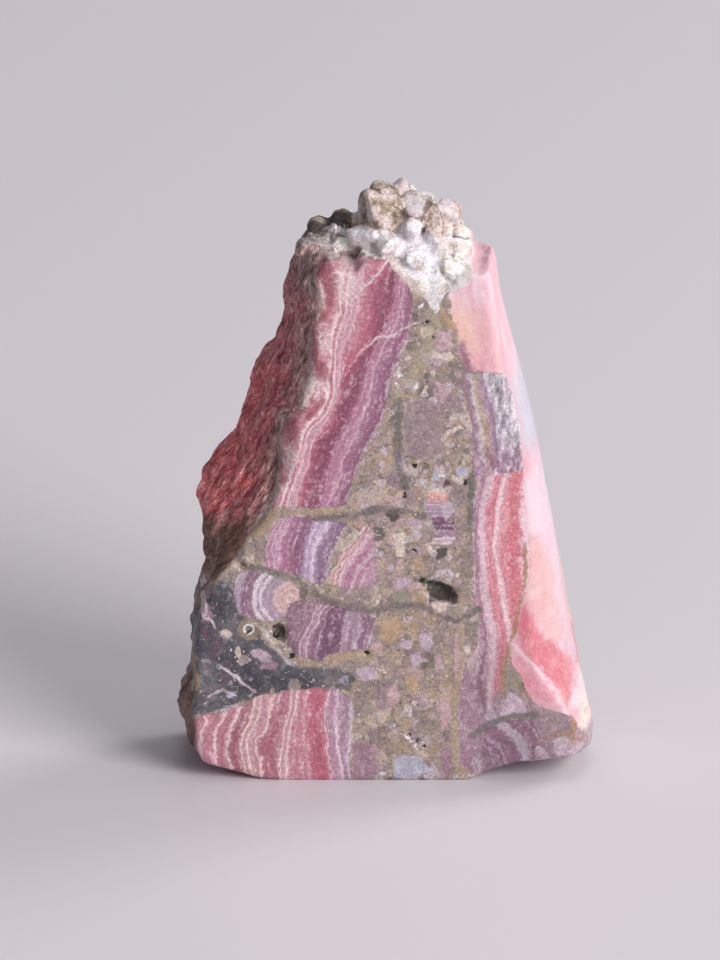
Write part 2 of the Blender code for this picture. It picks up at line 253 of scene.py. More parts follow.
I_LINES = [
    [
        (-27.5, 12.3), (-27.5, 10.7), (-26.8, 9.6), (-27.5, 8.3), (-27.8, 6.6), (-27.7, 4.3),
        (-27.1, 2.2), (-26.8, -1.3),
    ],
    [(-23.6, 13.1), (-23.9, 11.2), (-24.5, 9.6), (-25.4, 7.7), (-25.6, 5.3), (-25.4, 2.2), (-25.3, -1.3)],
    [
        (-21.1, 13.9), (-21.4, 12), (-22.7, 9.6), (-23.5, 7.7), (-23.8, 5.3), (-23.5, 3.2), (-23.2, 2.2),
        (-23.3, -1.3),
    ],
    [
        (-19.3, 15), (-19.4, 13.4), (-19.7, 11.2), (-20.5, 8.8), (-21.5, 6.9), (-21.8, 5.3), (-21.1, 2.7),
        (-20.8, 1), (-20.6, -1.3),
    ],
    [
        (-18.2, 15), (-18.5, 13.4), (-18.8, 11.2), (-19.6, 8.8), (-20.6, 6.9), (-20.9, 5.3), (-20.2, 2.4),
        (-19.7, -1.3),
    ],
    [
        (-16.7, 15), (-16.9, 13.6), (-17.6, 11.2), (-17.9, 8.8), (-18.1, 7.7), (-19.3, 6.7), (-19.4, 4.5),
        (-18.8, 3.4), (-18.7, -1.3),
    ],
    [
        (-13.6, 16.3), (-13.9, 14.2), (-14, 12), (-14.6, 9.6), (-15.2, 7.7), (-15.4, 5.3), (-15.8, 2.4),
        (-15.5, -1.3),
    ],
    [
        (-12.8, 16.3), (-13.1, 14.2), (-13.4, 11.8), (-14.2, 9.3), (-14.5, 7.2), (-14.8, 5.3),
        (-14.9, 2.4), (-15.1, -1.3),
    ],
    [(-11.6, 16.3), (-11.8, 14.1), (-12.5, 10.2), (-12.1, 6.7), (-11.6, 4.3), (-11.3, 1.1), (-11.2, -1.3)],
    [
        (-8.2, 16.3), (-8.3, 14.4), (-8.5, 11.2), (-9.1, 9.3), (-8.6, 7.2), (-8.6, 4.3), (-7.9, 1.4),
        (-7.6, -1.3),
    ],
    [(-7, 16.3), (-7, 14.1), (-7.3, 9.1), (-7.3, 6.2), (-6.7, 3.4), (-6.1, -1.3)],
    [(-4.6, 16.3), (-4.7, 13.1), (-5.2, 8), (-5.5, 3.4), (-4.9, -1.3)],
]
J_OUTLINE = [
    (14.2, 48.6), (17, 49.6), (20.5, 49.8), (22.6, 49.4), (22.8, 47.5), (22.9, 45.1), (23, 41.3),
    (23.2, 39.8), (23.2, 36.8), (23.2, 33.1), (22.6, 30.7), (21.6, 28.5), (20.6, 24.6), (19.4, 21.4),
    (17.9, 18.9), (17.6, 15), (16.4, 13.8), (15.7, 9.6), (15.2, 10.7), (14.6, 12.6), (13.9, 14.4),
    (13, 17.1), (12.1, 18.6), (12.5, 20.5), (14.2, 22.1), (14, 26.6), (13.6, 30.4), (13.4, 33.1),
    (13.3, 36.8), (13.3, 40.5), (13.4, 44.2), (13.9, 46.7),
]
J_LINES = [
    [
        (14.6, 49.9), (13.9, 46.7), (13.4, 44.2), (13.3, 36.8), (13.6, 30.4), (14.2, 22.1), (13, 17.1),
        (14.6, 9.1),
    ],
    [
        (15.4, 49.9), (14.9, 46.7), (14.3, 43.8), (14.2, 40.3), (14.3, 36.8), (14.5, 33.1), (14.6, 30.4),
        (15.1, 27.7), (15.5, 24.6), (16.1, 21.9), (15.8, 18.2), (15.5, 14.7), (15.5, 9.1),
    ],
    [
        (16.7, 49.9), (16.1, 46.7), (15.4, 43.8), (15.1, 40.3), (15.2, 36.8), (15.5, 33.1), (15.8, 30.4),
        (16.3, 27.7), (16.9, 24.6), (17, 21.9), (16.7, 18.2), (16.4, 14.7), (16.4, 9.1),
    ],
    [
        (18.2, 49.9), (17.3, 46.7), (16.7, 43.4), (16.6, 40.5), (16.1, 37.8), (16.7, 35), (17.2, 32.3),
        (17.6, 29.1), (17.8, 27.4), (18.4, 24.6), (18.7, 21.9), (19.1, 9.1),
    ],
    [
        (18.7, 49.9), (17.9, 46.7), (17.3, 43.4), (17.2, 40.5), (16.9, 37.8), (17.3, 35), (17.9, 32.3),
        (18.4, 29.1), (18.5, 27.4), (19, 24.6), (19.3, 21.9), (19.7, 9.1),
    ],
    [(21.8, 49.9), (21.8, 41.9), (22, 37.1), (22.1, 30.7), (21.8, 27.5), (21.2, 22.7), (20.9, 9.1)],
]
K_FOOT = [
    (15.2, 8.2), (16.6, 9.3), (18.7, 9.9), (22.1, 10.1), (23, 8.3), (23.8, 6.2), (22.6, 5.3), (23, 3.4),
    (20.3, 2.1), (16.9, 1.9), (14.9, 2.9), (14.5, 5.3),
]
K_FOOT_EDGE = [(16.4, 9.6), (17.8, 8.8), (19.1, 7.4), (20.3, 5.9), (21.2, 4), (21.7, 1.9)]
O_OUTLINE = [
    (6.4, 46.6), (7, 47), (7.9, 47.2), (8.8, 47), (9.7, 46.2), (9.8, 44.6), (10, 43), (10.6, 42.2),
    (10.7, 40.3), (10.7, 38.6), (10.1, 37.9), (9.2, 37.8), (7.4, 38.1), (7.4, 39.2), (7.7, 40.5),
    (7.3, 41.6), (6.8, 42.9), (6.4, 44.3),
]

# The crust's lower edge; for the right flank (R) and the left one (L) the rim of the sawn face, where
# their colour starts and a pale lip; the sides of the silvery (N) and of the pink (M) fragment

CRUST_EDGE = [
    (-13.3, 83.2), (-10, 83.5), (-8.2, 82.6), (-5.9, 82.2), (-4.9, 83), (0.1, 83), (2.3, 80.8),
    (4.1, 78.2), (6.1, 77.1), (7.9, 74.2), (8.5, 77.1), (10.1, 78.4), (11.3, 78.7), (12.8, 79.5),
    (13.4, 81.9), (13, 86.1),
]
R_EDGE = [
    (15.8, 86.1), (16.1, 81.9), (16.6, 77.1), (17.2, 72.3), (17.9, 68.8), (19.1, 65.3), (19.9, 61.1),
    (20.3, 57.1), (20.8, 53.1), (21.2, 48.3), (21.4, 41.9), (21.7, 33.9), (21.4, 25.9), (21.7, 18.9),
    (22.1, 17), (24.1, 12.6), (26.3, 11.4), (28.1, 10.7), (29.3, 7.5), (29.5, 4),
]
L_EDGE = [
    (-10.9, 83.2), (-11.5, 77.1), (-11.6, 73), (-12.7, 69.1), (-14.6, 65.9), (-15.1, 61.9), (-15.7, 57.1),
    (-16.3, 51.5), (-16.6, 47.5), (-18.2, 42.7), (-19.9, 41.1), (-21.2, 37.9), (-23.5, 34.4),
    (-27.2, 30.4), (-28.4, 26.7), (-29.3, 23.7), (-29.6, 19), (-29.3, 14.6), (-28.7, 10.6), (-28.3, 2.9),
]
R_COLOUR = [
    (14.8, 88), (16.9, 83.2), (17.8, 77.1), (18.7, 70.7), (18.2, 65.1), (19.3, 61.9), (20.3, 55.2),
    (20.8, 50.2), (20.8, 46.7), (21.2, 41.9), (21.7, 37.1), (21.5, 33.1), (21.2, 30.4), (20.5, 28.2),
    (20, 24.6), (19.1, 21.4), (19, 18.9), (20.9, 16.5), (21.2, 14.7), (22.6, 12.6), (24.2, 11.7),
    (26.3, 11), (28.3, 10.4), (29.6, 7.5), (30.4, 4),
]
R_LIP = [(20.2, 21.1), (21.7, 19.4), (23.6, 17), (25.4, 14.7), (26.9, 11.8)]
N_LEFT = [(11.5, 65.3), (12.2, 60.3), (13.1, 56.5), (13.1, 52.6), (13.6, 48.5)]
N_RIGHT = [(17.2, 65.1), (18.1, 62.9), (19, 59), (19.7, 55.2), (20.3, 50.2)]
M_LEFT = [
    (13.6, 81.9), (11.3, 78.4), (9.7, 77.3), (9.7, 75), (10.7, 72.6), (10.9, 70.6), (11.6, 67.8),
    (12.4, 65.3),
]
# Middles of D's arcs, of the ring and of O's bowed bands; behind the sawn face the crust starts no
# lower than CRUST_BEHIND, and it ends at CRUST_RIGHT
ARC_CENTRE = (-14.0, 29.3)
RING_CENTRE = (-20.4, 24.4)
COLUMN_MIDDLE = 8.5
CRUST_BEHIND = 81.0
CRUST_RIGHT = 13.4

# Regions with a number of their own at every vertex: the first on the sawn face, then those that
# lie on the crown where the camera sees them

REGIONS = {
    "in_pink": [
        [
            (10.8, 87), (16.3, 87.5), (17.3, 77.1), (18.2, 70.7), (19.1, 65.3), (17, 65.3), (15.4, 65.3),
            (14.2, 65.4), (12.4, 65.3), (11.6, 67.8), (10.9, 70.6), (10.7, 72.6), (9.7, 75), (9.4, 77.6),
            (10.2, 79.4), (10.8, 81.9),
        ],
    ],
    "in_silver": [
        [
            (11.5, 65.3), (15.4, 65.3), (19.6, 65.1), (20.7, 62.9), (21.4, 59), (21.9, 55.2),
            (22.4, 50.2), (18.7, 49.3), (15.4, 49), (13.6, 48.5), (13.1, 52.6), (13.1, 56.5),
            (12.2, 60.3), (11.5, 63.4),
        ],
    ],
    "in_slate": [
        [
            (-30.7, 30.1), (-27.1, 29.4), (-24.4, 32.3), (-22, 30.1), (-21.7, 27.2), (-19.9, 25.3),
            (-18.4, 23), (-16.3, 21.1), (-14.5, 19.2), (-12.7, 18.4), (-8.2, 18.4), (-5.9, 18.1),
            (-4.3, 16.3), (-5.2, 14.7), (-8.2, 15), (-14.2, 14.2), (-18.4, 13.9), (-22.4, 12.2),
            (-26.9, 10.6), (-30.7, 10.6),
        ],
    ],
    "in_k": [
        [
            (11.6, 18.2), (13.1, 17), (15.2, 13.1), (16.9, 14.4), (18.8, 14.1), (21.5, 14.1), (24.5, 12),
            (28.6, 11), (30.8, 6.7), (30.5, 3.2), (26.3, 1.9), (20.3, 0.6), (15.5, 0.3), (11.6, 1.6),
            (10.9, 7.5), (11, 13.1),
        ],
    ],
    "in_red": [
        [
            (-10.1, 83.2), (-9.1, 82.6), (-7.7, 81.9), (-7, 81), (-7, 78.7), (-7.4, 77.1), (-8, 75.8),
            (-8.8, 76.2), (-9.1, 78.7), (-9.8, 80.3), (-10.3, 81.6),
        ],
        [(-9.4, 75), (-8.5, 75.2), (-8.6, 73.1), (-9.2, 72.3), (-9.7, 73.6)],
        [
            (-10.9, 72.2), (-9.5, 72.3), (-8.5, 72), (-9.4, 69.9), (-9.1, 68.8), (-10, 67.2),
            (-10.9, 67.8), (-11, 69.9),
        ],
        [(-10.9, 67), (-8.5, 67.2), (-8.3, 65), (-8.5, 63.7), (-9.4, 64.3), (-10.9, 65)],
        [
            (-9.1, 61.4), (-8.8, 60.5), (-9.7, 59), (-11.3, 57.9), (-12.2, 57.9), (-11.3, 59.5),
            (-10.1, 60.6),
        ],
        [
            (-14.9, 57), (-13.9, 58.2), (-12.8, 57.8), (-12.7, 56), (-13.1, 54.6), (-14.2, 53.6),
            (-14.9, 54.4),
        ],
    ],
    "in_plum_top": [
        [
            (-2, 79.4), (-0.5, 80.3), (0.7, 78.7), (1, 76.2), (0.2, 74.7), (-1.1, 74.2), (-2.2, 75.2),
            (-2.5, 77.4),
        ],
    ],
    "in_lace": [
        [(-7, 82.6), (-4.9, 81.9), (-4, 79.7), (-4.9, 77.1), (-5.8, 76), (-7, 77.1), (-7.6, 79.7)],
        [(-10, 72.3), (-8.8, 73.6), (-7.9, 71.4), (-8.2, 68.8), (-9.7, 68), (-10.1, 69.9)],
        [(-11, 66.6), (-10, 64.6), (-8.8, 63.7), (-9.1, 61.8), (-10.7, 60.8), (-11.3, 63)],
        [(-14.9, 53.1), (-13.7, 53.8), (-13.1, 52.3), (-13.9, 50.6), (-14.8, 49.3), (-15.2, 51.2)],
        [(-14.6, 46.7), (-15.5, 45.6), (-16.6, 44.5), (-15.7, 47.4)],
    ],
    "in_pearl": [
        [(-10.1, 79.7), (-9.5, 79.5), (-8.9, 77.6), (-8.8, 75.4), (-9.4, 75.5), (-9.8, 77.4)],
        [
            (-11.8, 64.3), (-10.7, 64.6), (-10.1, 63.5), (-10.9, 61.4), (-11.6, 59.4), (-12.2, 60.5),
            (-12.4, 62.4),
        ],
    ],
    "in_coral": [
        [
            (20, 27.5), (21.4, 28.6), (22.6, 25.6), (23.8, 22.6), (25.6, 21.1), (27.2, 17.6), (28, 13.1),
            (27.2, 11.8), (25.4, 14.7), (23.6, 17), (21.8, 19.4), (20.5, 21.4), (19.7, 24.3),
        ],
    ],
    "in_salmon": [
        [
            (20.9, 37.4), (22.4, 38.7), (24.1, 35.5), (25.1, 31.5), (25.7, 27.2), (26.3, 21.9),
            (25.1, 21.1), (23.6, 22.7), (22.4, 25.6), (21.2, 29.1), (20.8, 33.1),
        ],
    ],
    "in_under": [
        [
            (19.1, 18.9), (20.3, 20.8), (21.7, 18.9), (23.8, 16.3), (25.7, 13.6), (27.2, 11.5),
            (24.1, 12.5), (21.8, 13.6), (20.6, 15.4),
        ],
    ],
    "in_white": [
        [
            (20.3, 49.9), (22.1, 48.6), (23.3, 45.1), (24.1, 40.3), (23.3, 38.7), (21.8, 39),
            (20.6, 41.9), (19.9, 45.9),
        ],
    ],
    "in_glint": [
        [
            (19.1, 63.5), (20.6, 63.5), (21.8, 59.5), (22.7, 54.7), (22.1, 51.2), (20.9, 52.3),
            (20, 56.3), (19.3, 60.3),
        ],
    ],
    "in_edge": [
        [(27.1, 31), (31.1, 29.1), (32.3, 16.3), (32.6, 5.1), (29.5, 4.8), (28.7, 13.1), (27.9, 21.1)],
    ],
}
CROWN_PATCHES = {
    "rim_brown": [
        [(10.1, 93.4), (11.8, 92.3), (11.9, 89.6), (11.2, 90.2), (10.9, 91.8)],
        [(4.7, 83.4), (5.8, 83.2), (5.6, 81.8), (4.6, 81.9)],
    ],
    "grey_crust": [
        [(-12.7, 87), (-8.2, 88), (-4.9, 87.4), (-5.2, 84.8), (-7.6, 83.2), (-10.9, 83.2), (-13.3, 83.2)],
    ],
    # Pale crust in the dip under the ledge, painted lighter than it is to make up for the shade that falls
    # there
    "pale_mid": [
        [(-7.4, 84.6), (-6.7, 87), (-3.7, 87.4), (0.3, 88.2), (0.6, 85), (0.1, 83), (-5.9, 82.8)],
    ],
    "snow": [
        [(-8.5, 88.6), (-5.9, 88.5), (-4, 88.2), (-1.3, 87.4), (-1.9, 86.7), (-5.2, 87.4), (-7.6, 87.8)],
        [
            (2, 88.3), (5.3, 88.6), (7.7, 86.7), (8.3, 83.2), (7.9, 79.5), (5.3, 80), (2.8, 82.2),
            (0.8, 85.1),
        ],
    ],
    "tan_low": [
        [(-0.7, 83.2), (2.3, 81.6), (4.4, 79.7), (6.5, 77.8), (5.3, 77.1), (3.5, 78.7), (1.4, 80.8)],
    ],
}
# Pits: x, z, radius and how much flatter than round; each is dented a little and painted near-black as the
# shade in it. White spots: x, z and radius.
PITS = [
    (4.5, 50.5, 0.5, 1.1), (3, 46.2, 0.32, 0.45), (5.6, 32.2, 0.5, 1), (-14, 20.1, 0.45, 1),
    (-16.4, 23.4, 0.45, 1), (-2.7, 20.5, 0.4, 1.5), (12.2, 48, 0.4, 1), (-20.3, 23.9, 0.35, 1),
    (7.4, 71, 0.36, 1), (6.5, 73.4, 0.36, 1), (4.4, 37, 0.36, 1), (3.8, 7.5, 0.32, 1), (5, 6.6, 0.36, 1),
    (6.1, 5.6, 0.32, 1),
]
# The last white spot, in the cavity near the ring, is a painted highlight; the others are white crystals
WHITE_SPOTS = [
    (5.2, 50.1, 0.35), (8.6, 49, 0.36), (6.7, 41.4, 0.36), (4.6, 42.9, 0.34), (2.2, 65, 0.42),
    (1.9, 63.4, 0.38), (4.7, 63.1, 0.34), (5.5, 76, 0.36), (3.5, 7, 0.4), (4.1, 6.4, 0.45),
    (5.3, 7.4, 0.42), (5.9, 6.4, 0.4), (4.7, 5.4, 0.42), (-17, 24, 0.34),
]

# The crown's knobs as convex solids: a tone from 0 (dark) to 1 (white), then corners as x, the
# height at which the camera sees the corner on the front plane, and depth

KNOBS = [
    # main
    (0.37, [
        (-2.8, 94.7, 5.2), (-2.3, 92.3, 3.8), (-1.7, 90.4, 3.2), (-0.5, 88.3, 3.2), (-4, 93.3, 8.6),
        (-4.1, 90.9, 8), (-3.8, 88.5, 7.2), (0.1, 93.3, 5.6), (2.6, 90.4, 5), (2.2, 89.4, 4.8),
        (0.8, 88.5, 4), (-3.4, 94.2, 9), (-1.6, 94.7, 9.5), (-2.8, 91.8, 13), (1.7, 90.9, 12),
        (-0.7, 88.6, 11),
    ]),
    # upper
    (0.39, [
        (-2.3, 95, 10), (-1.6, 96.1, 11), (-0.4, 96.2, 11.5), (1.1, 95.7, 10.5), (2, 94.2, 8.5),
        (2.5, 92.3, 6.8), (2, 90.9, 6.2), (1, 91.7, 6), (-0.8, 93.8, 7), (-1.9, 94.6, 8.2),
        (-1.4, 95, 16), (1.1, 94.7, 16), (1.7, 91.5, 13),
    ]),
    # pinkish
    (0.58, [
        (1, 95.5, 13), (1.9, 96.3, 13.5), (2.9, 96.5, 13), (3.6, 95.7, 12.2), (3.5, 94.2, 11),
        (2.8, 93.1, 9.8), (2, 93.8, 9.6), (1.4, 94.9, 11.5), (2.3, 96, 18), (3.5, 95, 17),
        (2.3, 93.9, 17),
    ]),
    # beige, behind
    (0.74, [
        (3.5, 95.5, 13.5), (4.3, 95.4, 14), (4.9, 94.6, 13.6), (4.4, 93.6, 12.5), (3.4, 93.6, 12.5),
        (4.1, 95, 18), (4.7, 94.2, 18),
    ]),
    # whitish
    (0.72, [
        (2.5, 93, 9), (3.4, 94.1, 10), (5, 94.4, 10.5), (6.8, 94.3, 11), (7.6, 93.6, 10.5),
        (6.8, 92.2, 7.6), (6.1, 90.7, 6.4), (4.7, 90.1, 5.6), (3.4, 90.9, 6), (2.8, 92, 7),
        (3.8, 93.8, 16), (7, 93.6, 16), (6.1, 90.7, 13),
    ]),
    # olive
    (0.35, [
        (6.7, 93.3, 8.6), (7.6, 92.6, 8), (8, 91, 6.8), (8.5, 89, 5.4), (8.3, 87.2, 4.6), (7.4, 86.6, 4),
        (6.4, 87.4, 4.4), (5.8, 89.3, 5.2), (5.9, 91.2, 6.6), (7, 92.5, 14), (8, 89.9, 13),
        (6.8, 87.5, 12),
    ]),
    # grey lilac
    (0.72, [
        (7.9, 92.2, 9), (8.3, 93.3, 11), (9.4, 93.3, 11.5), (10.9, 92.8, 11.5), (11.5, 92, 11.3),
        (11.6, 90.7, 10.2), (10.6, 90.4, 8.6), (9.1, 90.7, 7.8), (8.3, 91.5, 8.2), (9.1, 93, 17),
        (11, 92.3, 17), (11.3, 90.9, 15),
    ]),
    # dark
    (0.1, [
        (-8.5, 89.8, 12.5), (-7.6, 91.2, 13.5), (-6.2, 91.8, 14.5), (-5.3, 91.2, 14.5), (-5, 90.1, 13.5),
        (-5.2, 88.5, 11), (-7, 88.2, 8.6), (-8.2, 88.5, 9.2), (-7.4, 90.1, 10), (-5.9, 90.1, 10.4),
        (-7.4, 90.9, 19), (-5.5, 90.9, 19),
    ]),
    # dark, outer
    (0.16, [
        (-11.8, 88.8, 12.5), (-10.9, 90.1, 13.5), (-9.7, 90.6, 14.5), (-8.6, 90.2, 14.5),
        (-8.4, 89.1, 12.5), (-8.8, 88.2, 9.2), (-11.2, 88, 9.4), (-10.3, 89.4, 10.4), (-10.9, 89.9, 19),
        (-8.9, 90.1, 19),
    ]),
    # small, white
    (0.92, [
        (2.8, 89.3, 5), (3.5, 90.1, 6), (4.7, 90.1, 6.2), (5.6, 89.1, 5.2), (5.5, 88.2, 3.8),
        (4.3, 87.8, 2.8), (3.1, 88.3, 3), (4.1, 89.6, 11), (5, 88.6, 10),
    ]),
    # grainy, in front
    (0.52, [
        (-1.3, 86.2, 2.8), (-0.2, 87.5, 3.6), (1.1, 87.8, 4), (2.2, 86.9, 3), (2, 85.3, 1.8),
        (0.8, 84.3, 1.1), (-0.7, 84.5, 1.1), (0.5, 86.1, 1), (0.5, 86.9, 9),
    ]),
    # cream, upper right
    (0.84, [
        (10.6, 88.3, 8.2), (11.3, 89.1, 9.4), (12.5, 88.6, 10.2), (13.1, 87.7, 9.4), (12.2, 86.9, 7.6),
        (10.9, 87, 6.8), (11.8, 88.3, 14),
    ]),
    # cream, right
    (0.82, [
        (9.8, 85.9, 4.8), (10.9, 87, 6.8), (12.5, 86.7, 8.2), (13.3, 85.4, 7.8), (12.5, 84.3, 5.2),
        (10.7, 84.2, 3.8), (11.2, 85.6, 4.2), (11.3, 85.8, 12),
    ]),
    # ledge
    (0.9, [
        (-6.1, 88.1, 5.6), (-4.3, 88.8, 6), (-2.8, 88.5, 4.6), (-1.3, 87.7, 3), (-1.4, 87, 3),
        (-3.4, 87.6, 3.8), (-5.2, 87.4, 4.6), (-4, 88.5, 8.5), (-1.9, 87.5, 7),
    ]),
    # between
    (0.3, [
        (-4.9, 90.9, 14), (-4.3, 91.2, 14.5), (-3.7, 90.6, 13), (-4, 89, 11), (-4.9, 89, 11),
        (-4.4, 90.6, 18),
    ]),
    # low, cream
    (0.86, [
        (8.5, 83.2, 1.8), (9.5, 83.8, 2.8), (11, 83.7, 3.6), (11.9, 82.6, 2.4), (11.5, 81, 0.9),
        (9.8, 80.5, 0.5), (8.8, 81.6, 0.7), (10.3, 82.6, 6),
    ]),
    # low, white
    (0.95, [
        (2.9, 84.2, 0.9), (4.1, 85, 1.6), (5.9, 84.8, 1.9), (7, 83.7, 1.4), (6.5, 82.2, 0.5),
        (4.6, 81.9, 0.2), (3.2, 82.9, 0.3), (4.9, 83.7, 5),
    ]),
]

# Colours, as red, green and blue in hexadecimal, along stops of a value

GROUND_TONES = [(-0.75, "625858"), (-0.3, "827572"), (0, "9e8e86"), (0.3, "b6a492"), (0.75, "cebeaa")]
CLAST_TONES = [
    (0, "e0d4ce"), (0.12, "c8b8ac"), (0.24, "aa8a9a"), (0.36, "786c6c"), (0.48, "b69c80"),
    (0.6, "cabeca"), (0.72, "c0a2a4"), (0.84, "8e827a"), (0.93, "5c5454"), (1, "b8a6ae"),
]
SLATE_TONES = [(-0.75, "35343b"), (-0.2, "4c4951"), (0.2, "605e63"), (0.75, "7b7679")]
SLATE_CLASTS = [(0, "bab6c4"), (0.3, "544450"), (0.6, "c4b4b0"), (0.8, "3c363c"), (1, "8c7882")]
A_TONES = [
    (-0.6, "986a6d"), (0, "a87c79"), (0.3, "ac6e76"), (0.6, "c0818c"), (0.86, "c8959c"), (0.95, "e8cecd"),
    (1.12, "e4c6c8"), (1.25, "c2818d"), (1.7, "c88895"), (1.9, "e6ccce"), (2.08, "e2c2cc"),
    (2.2, "c693a1"), (2.7, "ce9daa"), (2.95, "d8b3bd"), (3.08, "c28593"), (3.6, "ba6e81"), (4, "a65c71"),
    (4.3, "905066"), (4.75, "8a4b61"), (4.95, "9e627b"), (5.1, "b68097"), (5.5, "b07a91"),
    (5.85, "b8889b"), (6, "cea8b7"), (6.15, "a8768d"), (6.5, "9c6a83"), (6.85, "8e5e75"),
    (6.97, "b89faa"), (7.3, "a28e98"),
]
B_TONES = [
    (-1, "a87e8e"), (-0.15, "b08296"), (0, "d8c0ce"), (0.15, "b28096"), (0.85, "ba849c"), (1, "d4bccc"),
    (1.2, "ba869e"), (1.9, "c496ac"), (2, "d0acbe"), (2.15, "b27c96"), (3, "9a6a84"), (3.5, "8a5c74"),
    (3.9, "986c88"), (4.1, "aa90ac"), (4.8, "bea6c0"), (5, "d8c6d6"), (5.15, "a68ca6"), (5.6, "866882"),
    (5.9, "8c6e86"), (6, "cebcca"), (6.3, "967e90"),
]
E_TONES = [
    (-3, "8c6c7a"), (-1, "947282"), (-0.15, "9c7688"), (0, "d4bec8"), (0.2, "a88294"), (0.8, "b0889a"),
    (1, "d0b6c2"), (1.25, "967084"), (1.85, "8a6278"), (2, "b094a6"), (2.12, "805a72"), (2.6, "765068"),
    (2.88, "86647a"), (3, "b49cac"), (3.2, "a6869a"), (3.8, "a28498"), (4, "b49aac"), (4.15, "906c84"),
    (4.7, "8a687e"), (4.9, "9e8092"), (5, "cebec4"), (5.3, "a08c94"),
]
I_TONES = [
    (-1.5, "b27c8a"), (-0.6, "c28a95"), (-0.15, "c08391"), (0, "e0c4c6"), (0.18, "be818f"),
    (0.82, "b87e8d"), (1, "e6ccca"), (1.16, "be818f"), (1.6, "b47586"), (1.86, "c89aa3"), (2, "e8d0ca"),
    (2.16, "a86976"), (2.5, "9a606e"), (2.85, "b27884"), (3, "e6d0ca"), (3.25, "c4939c"),
    (3.75, "ca9da3"), (4, "e6ceca"), (4.25, "c2919c"), (4.8, "c08c96"), (5, "e6ceca"), (5.12, "b67786"),
    (5.6, "aa6c7b"), (5.9, "bc8791"), (6, "e6cece"), (6.25, "c28f9a"), (6.75, "c4919c"), (7, "e6cece"),
    (7.2, "c08595"), (7.85, "be7e8d"), (8, "d2a4ac"), (8.15, "bc707f"), (8.6, "b66576"), (8.9, "c07888"),
    (9, "dcbbc0"), (9.15, "b6889c"), (9.7, "b28ea3"), (9.85, "bc9db0"), (10, "e0ccd6"), (10.2, "ae8ea1"),
    (10.8, "a88a9c"), (11, "ccbfc6"), (11.4, "a4969c"),
]
J_TONES = [
    (-0.4, "bea0a4"), (0, "dac2c6"), (0.25, "ac8696"), (0.6, "a07a8c"), (0.85, "b892a0"),
    (1.05, "d4b2be"), (1.6, "dcbec8"), (1.9, "d8acb6"), (2.05, "d48c98"), (2.5, "d38691"),
    (2.85, "d48c96"), (3.05, "e6c0c4"), (3.5, "ead0d4"), (3.95, "dea8b0"), (4.15, "d88c95"),
    (4.42, "d27c87"), (4.62, "d4828c"), (4.72, "e8bac4"), (5, "eed0d8"), (5.6, "eed2da"),
]
FAN_TONES = [
    (-0.3, "d8c0bc"), (0.3, "d2b6b0"), (0.5, "b06876"), (0.62, "d6b8b8"), (1, "ceacb0"), (1.12, "b06676"),
    (1.3, "d8bcc2"), (1.9, "cea8b6"), (2.3, "b48298"), (3.1, "ac7890"), (3.6, "ceb2c0"), (4, "b07e94"),
    (5.2, "bc98a8"), (7, "b08c9e"),
]
ARC_TONES = [
    (0, "d0b0a8"), (2.6, "caaaa8"), (3, "b098a6"), (4.3, "ae94a8"), (4.6, "d6cbd2"), (4.85, "d8ccd4"),
    (5, "a6889c"), (5.25, "a4869a"), (5.45, "d8cdd5"), (5.85, "d6cad4"), (6.05, "98768a"),
    (6.9, "88667a"), (7.5, "907084"), (7.75, "b09aae"), (8.4, "b29eae"), (8.6, "d2c8d0"), (9.1, "988692"),
]
COLUMN_TONES = [
    (37.5, "c4b4b4"), (38.3, "dccecc"), (38.7, "b08ca0"), (39, "daccca"), (39.4, "a88a9e"),
    (40.3, "a08096"), (40.5, "765468"), (42.4, "7a586c"), (42.7, "a68ca2"), (44.2, "ac92a6"),
    (44.4, "cebcc4"), (44.6, "b092a4"), (45.2, "ce9694"), (46.2, "d4a098"), (46.5, "decac4"),
    (47.2, "d6c4be"),
]
FOOT_TONES = [
    (-6, "99788a"), (-2.2, "9b7287"), (-1.2, "916b80"), (-0.8, "c7b4bf"), (0.3, "bfa8b8"),
    (0.7, "99758a"), (2.4, "a1788e"), (2.8, "bda5b2"), (3.1, "9b758a"), (6, "917784"),
]
PINK_TONES = [
    (64, "e2a2aa"), (67, "eaa4aa"), (69.6, "ecb0b4"), (71.5, "ecbcb6"), (73.8, "eec6c2"),
    (75.6, "ecc8ce"), (77.6, "eed0da"), (79.4, "edc9d4"), (81.5, "edc5d1"), (87, "edc3d0"),
]
PINK_STREAKS = [(-0.5, "d692a4"), (0, "e8b6c2"), (0.45, "f6e2e8")]
SILVER_TONES = [
    (-0.25, "8c767a"), (0.02, "967c86"), (0.12, "a08092"), (0.2, "ccc0c6"), (0.28, "b8a496"),
    (0.34, "aa9284"), (0.42, "b096a6"), (0.52, "96788e"), (0.6, "baacbc"), (0.7, "cec4ce"),
    (0.78, "968c94"), (0.84, "70686e"), (0.9, "c4bcc4"), (1, "ded6de"), (1.3, "d6ced6"),
]
SILVER_LUMPS = [(-0.5, "5c545c"), (-0.15, "9e8c98"), (0.15, "ccc2cc"), (0.5, "f0eaf2")]
SILVER_FOOT = [(-0.5, "784254"), (-0.1, "a47c92"), (0.25, "c4a8ba"), (0.6, "e2d6de")]
LEFT_TONES = [
    (-0.9, "521820"), (-0.45, "803038"), (-0.12, "a25058"), (0.1, "be7076"), (0.32, "a0706a"),
    (0.7, "e2b0b0"),
]
CORAL_TONES = [(-0.6, "aa3e46"), (-0.2, "cc5c60"), (0.15, "de7a7c"), (0.6, "f4c0be")]
RIND_TONES = [(-0.6, "704846"), (-0.1, "96706a"), (0.2, "b6988e"), (0.6, "dec6bc")]
OLIVE_TONES = [(-0.6, "422a26"), (0, "745246"), (0.6, "ac8c78")]
TOP_TONES = [(-0.6, "5c4e4c"), (0, "927e7c"), (0.3, "b09894"), (0.7, "d6c6c2")]
